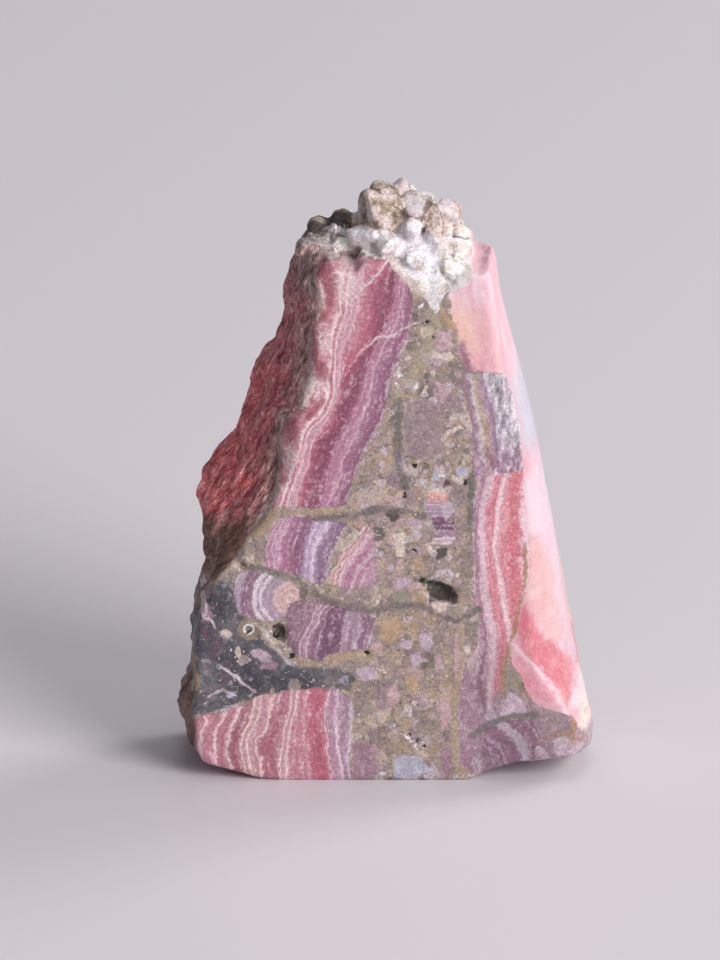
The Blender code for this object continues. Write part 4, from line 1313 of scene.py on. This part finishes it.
def marking_fields(places, normals, knob_planes):
    """Every number that the material needs at a vertex, by name."""
    x, z, depth = front_coordinates(places)
    turned = np.clip((normals[:, 0] - 0.45) / 0.25, 0, 1) * np.clip(depth / 2 - 0.5, 0, 1)
    fields = {"depth": depth, "front_x": x, "front_z": z}
    fields |= fragment_fields(x, z)
    fields |= clast_fields(x, z)
    fields |= line_fields(x, z)
    for name, outlines in REGIONS.items():
        fields[name] = deepest(outlines, x, z)
    pits = [r - np.hypot(x - px, (z - pz) * w) for px, pz, r, w in PITS]
    # How far inside a pit, for its dent and its painted shade
    fields["ink"] = np.max(pits, axis=0)
    whites = [r - np.hypot(x - px, z - pz) for px, pz, r in WHITE_SPOTS]
    fields["spots"] = np.max(whites, axis=0)
    fields["radius_ring"] = np.hypot(x - RING_CENTRE[0], z - RING_CENTRE[1])
    fields["lip"] = nearest_line([R_LIP], x, z)[1]
    fields["left_of"] = line_at(L_COLOUR, z) - x
    fields["right_of"] = x - line_at(R_COLOUR, z) + 3.0 * turned * np.clip(z / 4 - 3, 0, 1)
    fields["rim_of"] = line_at(L_EDGE, z) - x
    fields["n_share"] = (x - line_at(N_LEFT, z)) / (line_at(N_RIGHT, z) - line_at(N_LEFT, z))
    fields["m_share"] = (x - line_at(M_LEFT, z)) / (line_at(R_EDGE, z) - line_at(M_LEFT, z))
    fields["crust"] = crust_height(x, places[:, 2], depth)
    fields["knob"], fields["knob_tone"], fields["knob_lead"] = knob_fields(places, knob_planes)
    seen = seen_height(places)
    for name, outlines in CROWN_PATCHES.items():
        fields[name] = deepest(outlines, places[:, 0], seen)
    return fields


def lay_out(mesh):
    """A flat layout of the stone's skin in six charts, for a texture of the finished paint."""
    places = vertex_places(mesh)
    corners = np.empty(len(mesh.loops), dtype=np.int64)
    mesh.loops.foreach_get("vertex_index", corners)
    normals = np.empty(len(mesh.polygons) * 3)
    mesh.polygons.foreach_get("normal", normals)
    normals = normals.reshape(-1, 3)
    sizes = np.empty(len(mesh.polygons), dtype=np.int64)
    mesh.polygons.foreach_get("loop_total", sizes)
    axis = np.abs(normals).argmax(axis=1)
    side = np.take_along_axis(normals, axis[:, None], axis=1)[:, 0] > 0
    chart = np.repeat(axis * 2 + side, sizes)
    placed = (places + LAYOUT_ORIGIN)[corners]
    layout = np.zeros((len(corners), 2))
    for number, rules in enumerate(LAYOUT_CHARTS):
        here = chart == number
        for k, (along, start, scale) in enumerate(rules):
            layout[here, k] = (start + placed[here, along] * scale) / LAYOUT_SIZE
    mesh.uv_layers.new(name="OFBake").data.foreach_set("uv", layout.ravel())


# A small language for the material's nodes


class Value:
    """An output in the stone's node tree, with arithmetic."""

    def __init__(self, socket):
        self.socket = socket

    def __add__(self, other):
        return calc("ADD", self, other)

    def __radd__(self, other):
        return calc("ADD", other, self)

    def __sub__(self, other):
        return calc("SUBTRACT", self, other)

    def __rsub__(self, other):
        return calc("SUBTRACT", other, self)

    def __mul__(self, other):
        return calc("MULTIPLY", self, other)

    def __rmul__(self, other):
        return calc("MULTIPLY", other, self)

    def __abs__(self):
        return calc("ABSOLUTE", self)


def put(socket, value):
    """Links an output to the socket, or sets a number or a vector on it."""
    if isinstance(value, Value):
        tree.links.new(value.socket, socket)
    else:
        socket.default_value = value


def calc(operation, *values):
    """A node for one step of arithmetic."""
    node = tree.nodes.new("ShaderNodeMath")
    node.operation = operation
    for socket, value in zip(node.inputs, values, strict=False):
        put(socket, value)
    return Value(node.outputs["Value"])


def most(a, b):
    """The greater of two values."""
    return calc("MAXIMUM", a, b)


def rise(value, low, high):
    """0 below low, 1 above high, smooth between; the other way round where low is above high."""
    node = tree.nodes.new("ShaderNodeMapRange")
    node.interpolation_type = "SMOOTHSTEP"
    put(node.inputs["Value"], value)
    flip = low > high
    node.inputs["From Min"].default_value = min(low, high)
    node.inputs["From Max"].default_value = max(low, high)
    node.inputs["To Min"].default_value = 1.0 if flip else 0.0
    node.inputs["To Max"].default_value = 0.0 if flip else 1.0
    return Value(node.outputs["Result"])


def band(value, middle, half, soft):
    """1 within half of the middle, fading to 0 over soft."""
    return rise(abs(value - middle), half + soft, half)


def attr(name):
    """The number that the mesh carries under this name."""
    node = tree.nodes.new("ShaderNodeAttribute")
    node.attribute_name = name
    return Value(node.outputs["Fac"])


def vector(x, y, z):
    """A place made from three values."""
    node = tree.nodes.new("ShaderNodeCombineXYZ")
    for socket, value in zip(node.inputs, (x, y, z), strict=True):
        put(socket, value)
    return Value(node.outputs["Vector"])


def vector_calc(operation, a, b):
    """A node for one step of arithmetic with places; for SCALE the second is a number."""
    node = tree.nodes.new("ShaderNodeVectorMath")
    node.operation = operation
    put(node.inputs[0], a)
    if operation == "SCALE":
        put(node.inputs["Scale"], b)
    else:
        put(node.inputs[1], b)
    return Value(node.outputs["Vector"])


def enough(size, detail):
    """The detail asked for, or less where it would make lumps too fine to see."""
    return round(min(detail, max(1.0, math.log2(size / FINEST))), 2)


def noise(place, size, detail=2.0, rough=0.5, shift=0.0):
    """Noise about 0, within about -1 to 1, with lumps size millimetres wide."""
    if shift:
        place = vector_calc("ADD", place, (shift, shift * 1.7, -shift))
    node = tree.nodes.new("ShaderNodeTexNoise")
    node.inputs["Scale"].default_value = 1.0 / size
    node.inputs["Detail"].default_value = enough(size, detail)
    node.inputs["Roughness"].default_value = rough
    put(node.inputs["Vector"], place)
    return Value(node.outputs["Fac"]) * 2.0 - 1.0


def bent(place, size, amount, detail=2.0):
    """The place moved about by up to amount, for warping a texture."""
    node = tree.nodes.new("ShaderNodeTexNoise")
    node.inputs["Scale"].default_value = 1.0 / size
    node.inputs["Detail"].default_value = enough(size, detail)
    put(node.inputs["Vector"], place)
    off = vector_calc("SUBTRACT", Value(node.outputs["Color"]), (0.5, 0.5, 0.5))
    return vector_calc("ADD", place, vector_calc("SCALE", off, 2.0 * amount))


def after(place, colour):
    """The same place, tied to a colour, so that the renderer works that colour out first.

    Without this the renderer would hold every layer's values at once, which are too many.
    """
    return vector_calc("ADD", place, vector_calc("SCALE", colour, TIE))


def cells(place, size):
    """Cells size millimetres wide: a random number, another one, and the middle's distance."""
    node = tree.nodes.new("ShaderNodeTexVoronoi")
    node.inputs["Scale"].default_value = 1.0 / size
    put(node.inputs["Vector"], place)
    distance = Value(node.outputs["Distance"]) * size
    split = tree.nodes.new("ShaderNodeSeparateColor")
    tree.links.new(node.outputs["Color"], split.inputs["Color"])
    return Value(split.outputs["Red"]), Value(split.outputs["Green"]), distance


def linear(colour):
    """A colour in hexadecimal as the linear colour that a node takes."""
    parts = [int(colour[k : k + 2], 16) / 255 for k in (0, 2, 4)]
    return (*[c / 12.92 if c <= 0.04045 else ((c + 0.055) / 1.055) ** 2.4 for c in parts], 1.0)


def one_ramp(value, stops):
    """A ramp in one node, which holds up to MOST_STOPS stops."""
    low, high = stops[0][0], stops[-1][0]
    node = tree.nodes.new("ShaderNodeValToRGB")
    elements = node.color_ramp.elements
    elements[0].position, elements[1].position = 0.0, 1.0
    elements[0].color, elements[1].color = linear(stops[0][1]), linear(stops[-1][1])
    for place, colour in stops[1:-1]:
        made = elements.new((place - low) / (high - low))
        made.color = linear(colour)
    put(node.inputs["Fac"], (value - low) * (1.0 / (high - low)))
    return Value(node.outputs["Color"])


def ramp(value, stops):
    """A colour that follows value through stops of (value, colour)."""
    made = one_ramp(value, stops[:MOST_STOPS])
    if len(stops) > MOST_STOPS:
        rest = ramp(value, stops[MOST_STOPS - 1 :])
        made = mix(made, rest, calc("GREATER_THAN", value, stops[MOST_STOPS - 1][0]))
    return made


def band_palette(bands):
    """The colour of every banded fragment, one after another along the palette."""
    made = None
    for number, (_, _, scale, stops) in enumerate(FRAGMENTS):
        start = number * PALETTE_STEP + 1
        placed = [(start + (value - stops[0][0]) / scale, tone) for value, tone in stops]
        colour = ramp(bands, placed)
        made = mix(made, colour, calc("GREATER_THAN", bands, start - 3)) if made else colour
    return made


def mix(under, over, share):
    """One colour over another, as far as share says."""
    node = tree.nodes.new("ShaderNodeMix")
    node.data_type = "RGBA"
    node.clamp_factor = True
    put(node.inputs["Factor"], share)
    for socket, value in ((node.inputs[6], under), (node.inputs[7], over)):
        put(socket, value if isinstance(value, Value) else linear(value))
    return Value(node.outputs[2])


def lit(colour, factor):
    """The colour made lighter or darker by a factor."""
    node = tree.nodes.new("ShaderNodeHueSaturation")
    put(node.inputs["Value"], factor)
    put(node.inputs["Color"], colour)
    return Value(node.outputs["Color"])


# The stone's material


def small_fragments(ground, spot, sizes, tones, inner):
    """The ground with scattered fragments of several sizes over it."""
    for size, start, strength in sizes:
        place = vector_calc("ADD", after(spot, ground), (7.0 * size, 3.0, 5.0))
        kind, tone, distance = cells(place, size)
        shown = rise(kind, start, start + 0.02) * rise(distance, 0.62 * size, 0.50 * size)
        ground = mix(ground, lit(ramp(tone, tones), 1.0 + 0.6 * inner), shown * strength)
    return ground


def breccia(spot):
    """The grey and tan matrix with its fragments of every size, and the slate-grey patch."""
    warped = bent(spot, 1.5, 0.55, 3.0)
    patches = noise(spot, 6.0, 2.0) + 0.6 * noise(spot, 1.3, 4.0, 0.7, 4.0)
    inner = noise(spot, 0.45, 3.0, 0.7, 15.0)
    mottle = noise(warped, 1.0, 4.0, 0.75, 77.0) + 0.3 * patches
    ground = mix(ramp(patches, GROUND_TONES), ramp(mottle, MOTTLE_TONES), 0.55)
    ground = small_fragments(ground, warped, CLAST_SIZES, CLAST_TONES, inner)
    spot = after(spot, ground)
    rust = noise(spot, 2.6, 4.0, 0.7, 51.0)
    ground = mix(ground, RUST_TAN, rise(rust, 0.22, 0.5) * 0.6)
    cement = abs(noise(warped, 4.6, 3.0, 0.6, 33.0))
    ground = mix(ground, CEMENT_DARK, rise(cement, 0.055, 0.01) * rise(patches, -0.4, 0.2) * 0.6)
    slate = ramp(patches + 0.7 * mottle, SLATE_TONES)
    slate = small_fragments(slate, warped, SLATE_SIZES, SLATE_CLASTS, inner)
    is_slate = rise(attr("in_slate") + 1.1 * noise(spot, 1.5, 4.0, 0.7), -0.35, 0.5)
    spot = after(spot, ground)
    veinlet = abs(noise(warped, 6.0, 3.0, 0.6, 43.0))
    ground = mix(ground, VEINLET_TAN, rise(veinlet, 0.035, 0.005) * 0.6)
    ground = mix(ground, slate, is_slate)
    pale = noise(spot, 0.62, 3.0, 0.75, 57.0)
    ground = mix(ground, FLECK_PALE, rise(pale, 0.24, 0.40) * 0.85)
    dark = noise(spot, 0.6, 3.0, 0.75, 63.0)
    return mix(ground, FLECK_DARK, rise(dark, 0.26, 0.42) * 0.85)


def row_stops(rows, moves, first):
    """The colours of each row, from the first one named, close round the row's own number."""
    return [(k + move, row[first + n]) for k, row in enumerate(rows) for n, move in enumerate(moves)]


def stone_colour(spot):
    """The sawn face: matrix, banded and small fragments, veins, the ring, white spots with one painted
    highlight, and pits painted near-black as shade.
    """
    colour = breccia(spot)
    spot = after(spot, colour)
    x, z, depth = attr("front_x"), attr("front_z"), attr("depth")
    crinkle = noise(spot, 0.9, 4.0, 0.66)
    sway = noise(spot, 3.6, 2.0, 0.5, 9.0)
    fray = 0.62 * noise(spot, 1.5, 4.0, 0.68, 21.0) + 0.3 * sway
    frost = noise(spot, 0.7, 4.0, 0.7, 71.0)

    mauve = 1.2 * noise(vector(x + 0.5 * z + 1.4 * sway, depth * 0.2, z * 0.2), 2.0, 4.0, 0.62, 8.0)
    inside = rise(attr("in_k") + 1.3 * fray, -0.2, 0.5)
    colour = mix(colour, ramp(mauve + 0.25 * frost, K_TONES), inside * 0.85)

    bands = attr("bands") + BAND_JAG * crinkle + BAND_SWAY * sway
    thin = noise(after(vector(bands * 3.6, z * 0.12, depth * 0.12), colour), 1.0, 4.0, 0.7)
    painted = band_palette(bands)
    painted = mix(painted, FROST_WHITE, rise(thin + 0.7 * frost, -0.05, 0.55) * 0.55)
    inside = attr("in_fragment") + fray
    low = rise(z, 27.0, 17.0) * rise(x, 10.0, 12.0)
    rim = 0.84 + 0.16 * rise(inside, 0.05, 0.35)
    painted = lit(painted, (1.0 + 0.36 * thin + 0.16 * frost - 0.27 * low) * rim)
    painted = upper_fragment(painted, after(spot, painted), fray, frost)
    colour = mix(colour, painted, rise(inside, -0.08, 0.10))
    colour = upper_right(colour, after(spot, colour), crinkle, fray, frost)

    spot = after(spot, colour)
    sort = attr("clast_sort") + 0.42 * noise(spot, 1.1, 4.0, 0.72, 3.0)
    tone = ramp(sort, row_stops(CLASTS, (-0.3, 0.0, 0.3), 0))
    colour = mix(colour, tone, rise(attr("in_clast") + fray, -0.12, 0.2) * 0.88)
    width = attr("line_half") * (1.0 + 1.3 * noise(spot, 1.8, 4.0, 0.7, 5.0))
    across = abs(attr("line_across") + 0.4 * crinkle)
    worn = 0.3 + 0.7 * rise(noise(spot, 3.2, 3.0, 0.6, 47.0), -0.45, 0.1)
    on = rise((width - across) * attr("line_sharp"), -0.65, 0.35) * rise(attr("line_near"), 1.2, 0.7)
    on = on * worn
    sort = attr("line_sort") + 0.35 * crinkle + 0.3 * frost
    colour = mix(colour, ramp(sort, row_stops(LINES, (-0.3, 0.3), 2)), on * 0.88)
    ring = attr("radius_ring") + 0.3 * crinkle
    colour = mix(colour, RING_TAN, band(ring, 1.2, 0.3, 0.5) * 0.6)
    colour = mix(colour, RING_WHITE, band(ring, 0.72, 0.1, 0.12) * 0.9)
    # White crystals, and a painted highlight in the cavity near the ring
    colour = mix(colour, SPOT_WHITE, rise(attr("spots") + 1.3 * crinkle, 0.0, 0.12) * 0.85)
    # Painted shade: the pits near-black
    return mix(colour, PIT_SHADE, rise(attr("ink") + 0.7 * crinkle, -0.08, 0.10))


def upper_fragment(painted, spot, fray, frost):
    """The patchy left edge of the big fragment, and its dark patch."""
    blot = fray * 1.6
    painted = mix(painted, DEEP_RED, rise(attr("in_red") + blot, -0.3, 0.5) * 0.7)
    painted = mix(painted, PLUM_ROSE, rise(attr("in_plum_top") + 2 * blot, -0.8, 1.1) * 0.75)
    web = abs(noise(spot, 1.3, 4.0, 0.66, 13.0))
    lace = rise(web, 0.15, 0.04) * 0.6 + 0.3
    painted = mix(painted, LACE_WHITE, lace * rise(attr("in_lace") + blot, -0.6, 0.5) * 0.85)
    pearl = rise(attr("in_pearl") + 1.3 * fray, -0.2, 0.3) * rise(frost, -0.5, 0.1)
    return mix(painted, PEARL, pearl * 0.8)


def upper_right(colour, spot, crinkle, fray, frost):
    """The pink fragment at the top right and the silvery striped one under it."""
    x, z, depth = attr("front_x"), attr("front_z"), attr("depth")
    height = z + 2.6 * noise(spot, 2.6, 4.0, 0.66, 2.0)
    pink = ramp(height, PINK_TONES)
    place = after(vector(x * 1.1 + 0.2 * z, depth * 0.4, z * 0.22), colour)
    streak = noise(place, 1.3, 4.0, 0.66, 12.0)
    pink = mix(pink, ramp(streak + 0.3 * frost, PINK_STREAKS), 0.55)
    share = attr("m_share") + 0.2 * crinkle
    glow = band(height, 72.5, 1.5, 5.0) * rise(share, 0.75, 0.1)
    pink = mix(pink, GLOW_PEACH, glow * 0.5)
    pink = mix(pink, DUSK_MAUVE, rise(share, 0.26, 0.06) * rise(height, 71.5, 68.5) * 0.9)
    colour = mix(colour, pink, rise(attr("in_pink") + 1.3 * fray, -0.15, 0.35))
    share = attr("n_share") + 0.13 * crinkle + 0.16 * noise(after(spot, colour), 3.0, 2.0, 0.5, 61.0)
    silver = ramp(share, SILVER_TONES)
    lump = noise(after(vector(x * 1.3, depth * 0.6, z * 0.5), colour), 1.0, 4.0, 0.7, 29.0)
    silver = mix(silver, ramp(lump, SILVER_LUMPS), rise(share, 0.45, 0.72) * 0.7)
    low = rise(z + 2.0 * crinkle, 54.5, 52.0)
    silver = mix(silver, ramp(lump + 0.3 * frost, SILVER_FOOT), low * 0.65)
    silver = lit(silver, 1.0 + 0.5 * lump + 0.3 * frost)
    return mix(colour, silver, rise(attr("in_silver") + fray, -0.06, 0.12))


def left_flank(before):
    """The broken left side: streaks of red, coral and brown rind that follow the slope."""
    s, z, depth = attr("left_of"), attr("front_z"), attr("depth")
    streak = noise(after(vector(s * 0.75 + z * 0.1, depth * 0.6, z * 0.16), before), 1.0, 4.0, 0.62)
    fine = noise(after(vector(s * 1.6 + z * 0.3, depth * 1.3, z * 0.6), before), 1.0, 4.0, 0.75)
    colour = ramp(1.2 * streak + 1.1 * fine, LEFT_TONES)
    coral = noise(after(vector(s, depth, z), colour), 5.0, 2.0, 0.5, 40.0)
    coral = rise(coral + 0.12 * s, 0.35, 1.0)
    colour = mix(colour, ramp(1.2 * fine + 0.5 * streak, CORAL_TONES), coral * 0.85)
    rind = rise(s + 2.6 * streak, 3.6, 0.7)
    colour = mix(colour, ramp(1.3 * fine + 0.6 * streak, RIND_TONES), rind * 0.7)
    crown = rise(z + 5.0 * streak, 72.0, 82.0)
    colour = mix(colour, ramp(1.3 * fine + 0.6 * streak, TOP_TONES), crown * 0.75)
    tiny = noise(after(vector(s * 4.5, depth * 3.6, z * 1.5), colour), 1.0, 3.0, 0.7, 61.0)
    colour = lit(colour, 1.05 + 1.1 * fine + 1.1 * tiny)
    place = after(vector(s * 3.0 + z * 0.5, depth * 2.4, z * 0.40), colour)
    fibre = noise(place, 1.0, 4.0, 0.7, 7.0)
    colour = mix(colour, FIBRE_PALE, rise(fibre, 0.10, 0.40) * 0.6)
    foot = rise(z + 3.0 * streak, 41.5, 38.0)
    return mix(colour, ramp(1.3 * fine + streak, OLIVE_TONES), foot)


def right_flank(before, spot, crinkle):
    """The smooth right side: pale pink with a salmon and a coral patch."""
    out, z, depth = attr("right_of"), attr("front_z"), attr("depth")
    streak = noise(after(vector(out * 1.1, depth * 0.35, z * 0.12), before), 1.0, 4.0, 0.6)
    fine = noise(after(vector(out * 3.0, depth * 1.2, z * 0.6), before), 1.0, 4.0, 0.7, 3.0)
    soft = noise(after(spot, before), 3.2, 4.0, 0.6, 25.0)
    edge = 1.7 * soft + 0.5 * crinkle
    tint = soft + 0.5 * fine
    colour = ramp(out + 2.2 * streak, RIGHT_TONES)
    colour = mix(colour, STREAK_WHITE, rise(streak + 0.4 * fine, 0.10, 0.45) * 0.6)
    for name, low, high, fill in RIGHT_PATCHES:
        colour = mix(colour, ramp(tint, fill), rise(attr(name) + edge, low, high) * 0.9)
    colour = mix(colour, STREAK_WHITE, rise(attr("in_white") + 1.3 * crinkle + soft, -0.9, 1.0) * 0.75)
    colour = mix(colour, GLINT, rise(attr("in_glint") + edge, -0.8, 0.8) * 0.9)
    colour = lit(colour, 0.86 + 0.11 * rise(z, 60.0, 75.0) + 0.16 * fine)
    colour = mix(colour, LACE_WHITE, rise(abs(attr("lip") + 0.7 * crinkle), 0.4, 0.1) * 0.6)
    cream = rise(attr("in_edge") + 1.2 * streak, -0.6, 0.6)
    colour = mix(colour, CREAM_EDGE, cream * rise(streak + fine, -0.6, 0.1) * 0.85)
    foot = rise(z + 1.2 * crinkle - 0.35 * out, 8.5, 6.5) * rise(out, 6.0, 3.5)
    return mix(colour, ramp(soft + fine, K_TONES), foot * 0.8)


def crust_colour(before, spot, crinkle):
    """The crown: dark on the left, white on the right, with the knobs' own colours, and painted shade
    where knobs meet and in the crust's hollows.
    """
    spot = after(spot, before)
    fine = noise(spot, 0.6, 3.0, 0.7, 90.0)
    _, tone, _ = cells(bent(spot, 1.5, 0.6, 4.0), 1.5)
    dark = rise(attr("front_x") + 3.0 * noise(spot, 4.0, 2.0, 0.5, 6.0), -4.0, -8.0)
    light = ramp(0.55 * tone + 0.25 + 0.6 * crinkle + 0.3 * fine, CRUST_TONES)
    brown = ramp(0.5 * tone + 0.6 * crinkle + 0.4 * fine, CRUST_DARK)
    colour = mix(light, brown, dark)
    spot = after(spot, colour)
    broad = noise(spot, 2.4, 3.0, 0.6, 35.0)
    knob = ramp(attr("knob_tone") + 0.62 * broad + 0.2 * fine, KNOB_TONES)
    knob = mix(knob, KNOB_BROWN, rise(abs(noise(spot, 3.0, 2.0, 0.5, 38.0)), 0.07, 0.01) * 0.3)
    on_knob = rise(attr("knob") + 0.25 * fine, -0.85, -0.5)
    colour = mix(colour, knob, on_knob)
    # Painted shade, dark brown, where two knobs meet
    seam_shade = rise(attr("knob_lead") + 0.2 * fine, 0.42, 0.06) * on_knob
    colour = mix(colour, KNOB_SEAM_SHADE, seam_shade * 0.75)
    for name, (stops, size, strength) in CROWN_TONES.items():
        value = noise(after(spot, colour), size, 4.0, 0.7, 17.0)
        inside = rise(attr(name) + 1.4 * fine + 1.2 * crinkle, -0.5, 0.5)
        colour = mix(colour, ramp(value + 0.4 * fine, stops), inside * strength)
    # Painted shade: the crust's hollows darkened
    return mix(colour, CREVICE_SHADE, rise(attr("low") + 0.12 * fine, 0.08, 0.40) * 0.45)


def paint_stone():
    """Wires the stone's nodes, from the sawn face outwards to the flanks and the crust."""
    shader = tree.nodes["Principled BSDF"]
    where = tree.nodes.new("ShaderNodeTexCoord")
    spot = vector_calc("SCALE", Value(where.outputs["Object"]), 1 / MM)
    colour = stone_colour(spot)
    crinkle = noise(spot, 1.1, 3.0, 0.6, 31.0)
    above = rise(attr("front_z") + crinkle, 29.5, 31.5)
    on_left = rise(attr("left_of") + 0.6 * crinkle, -0.1, 0.15) * above
    on_right = rise(attr("right_of") + 0.5 * crinkle, -0.1, 0.15)
    crust = rise(attr("crust") + 0.9 * crinkle, -0.2, 0.25)
    rim = rise(attr("rim_of") + 0.7 * crinkle, 0.0, 0.5) * (1.0 - above)
    rind = noise(after(spot, colour), 1.6, 4.0, 0.75, 27.0)
    colour = mix(colour, ramp(1.4 * rind, OLIVE_TONES), rim * 0.85)
    colour = mix(colour, left_flank(colour), on_left)
    colour = mix(colour, right_flank(colour, spot, crinkle), on_right)
    colour = mix(colour, crust_colour(colour, spot, crinkle), crust)
    last = after(spot, colour)
    grain = noise(last, 0.34, 3.0, 0.75)
    calm = 1.0 - 0.75 * most(on_right, rise(attr("in_pink"), 0.0, 0.6))
    colour = lit(colour, 1.0 + calm * 0.65 * grain)
    sparkle = rise(noise(last, 0.42, 2.0, 0.8, 81.0), 0.36, 0.5)
    colour = mix(colour, SPARKLE_WHITE, sparkle * calm * 0.6)
    put(shader.inputs["Base Color"], colour)
    rough = 0.42 + 0.12 * grain + 0.3 * crust + 0.18 * on_left + 0.06 * on_right
    put(shader.inputs["Roughness"], rough)
    shader.inputs["Specular IOR Level"].default_value = 0.5
    bump = tree.nodes.new("ShaderNodeBump")
    bump.inputs["Strength"].default_value = BUMP_STRENGTH
    bump.inputs["Distance"].default_value = BUMP_DISTANCE
    relief = noise(spot, 0.45, 3.0, 0.6) * (0.12 + 0.6 * most(on_left, crust)) + 0.1 * crinkle
    put(bump.inputs["Height"], relief)
    tree.links.new(bump.outputs["Normal"], shader.inputs["Normal"])


# Floor and lights


def pale_floor():
    """The flat ground that the stone stands on."""
    mesh = bpy.data.meshes.new("floor")
    bm = bmesh.new()
    bmesh.ops.create_grid(bm, x_segments=4, y_segments=4, size=FLOOR_HALF)
    bm.to_mesh(mesh)
    bm.free()
    made = bpy.data.objects.new("floor", mesh)
    bpy.context.scene.collection.objects.link(made)
    paint = bpy.data.materials.new("pale_floor")
    paint.use_nodes = True
    shader = paint.node_tree.nodes["Principled BSDF"]
    shader.inputs["Base Color"].default_value = FLOOR_COLOUR
    shader.inputs["Roughness"].default_value = FLOOR_ROUGHNESS
    mesh.materials.append(paint)
    return made


def soft_light(name, place, size, power, colour):
    """A round light that faces LIGHT_AIM."""
    data = bpy.data.lights.new(name, "AREA")
    data.shape = "DISK"
    data.size = size
    data.energy = power
    data.color = colour
    made = bpy.data.objects.new(name, data)
    made.location = place
    aim = Vector(LIGHT_AIM) - Vector(place)
    made.rotation_euler = aim.to_track_quat("-Z", "Y").to_euler()
    bpy.context.scene.collection.objects.link(made)


# The stone

stone = own_copy(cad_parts[NODE])
even_grid(stone)
fit_outline(stone.data)
knob_planes = add_knobs(stone.data)
even_grid(stone)
stone_mesh = stone.data
fields = marking_fields(vertex_places(stone_mesh), vertex_normals(stone_mesh), knob_planes)
add_relief(stone_mesh, fields)
for name, values in fields.items():
    attribute = stone_mesh.attributes.new(name, "FLOAT", "POINT")
    attribute.data.foreach_set("value", values.astype(np.float32))
stone_mesh.polygons.foreach_set("use_smooth", [True] * len(stone_mesh.polygons))
lay_out(stone_mesh)

material = bpy.data.materials.new(SLOT)
material.use_nodes = True
tree = material.node_tree
paint_stone()
stone_mesh.materials.append(material)

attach(stone, "root")
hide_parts(NODE)

# The floor, the lights and the sky

pale_floor()
for settings in SOFT_LIGHTS:
    soft_light(*settings)
world = bpy.data.worlds.new("studio")
bpy.context.scene.world = world
world.use_nodes = True
sky = world.node_tree.nodes["Background"]
sky.inputs["Color"].default_value = SKY_COLOUR
sky.inputs["Strength"].default_value = SKY_STRENGTH

# The camera

camera_data = bpy.data.cameras.new("camera")
camera_data.sensor_width = SENSOR
camera_data.lens = SENSOR * CAMERA_DISTANCE / VIEW_HEIGHT
camera_data.clip_start = CLIP_START
camera = bpy.data.objects.new("camera", camera_data)
away = Vector((0, -math.cos(CAMERA_TILT), math.sin(CAMERA_TILT)))
camera.location = Vector(AXIS_POINT) * MM + away * CAMERA_DISTANCE
camera.rotation_euler = (math.radians(90) - CAMERA_TILT, 0, 0)
bpy.context.scene.collection.objects.link(camera)
bpy.context.scene.camera = camera
bpy.context.scene.view_settings.view_transform = "Standard"
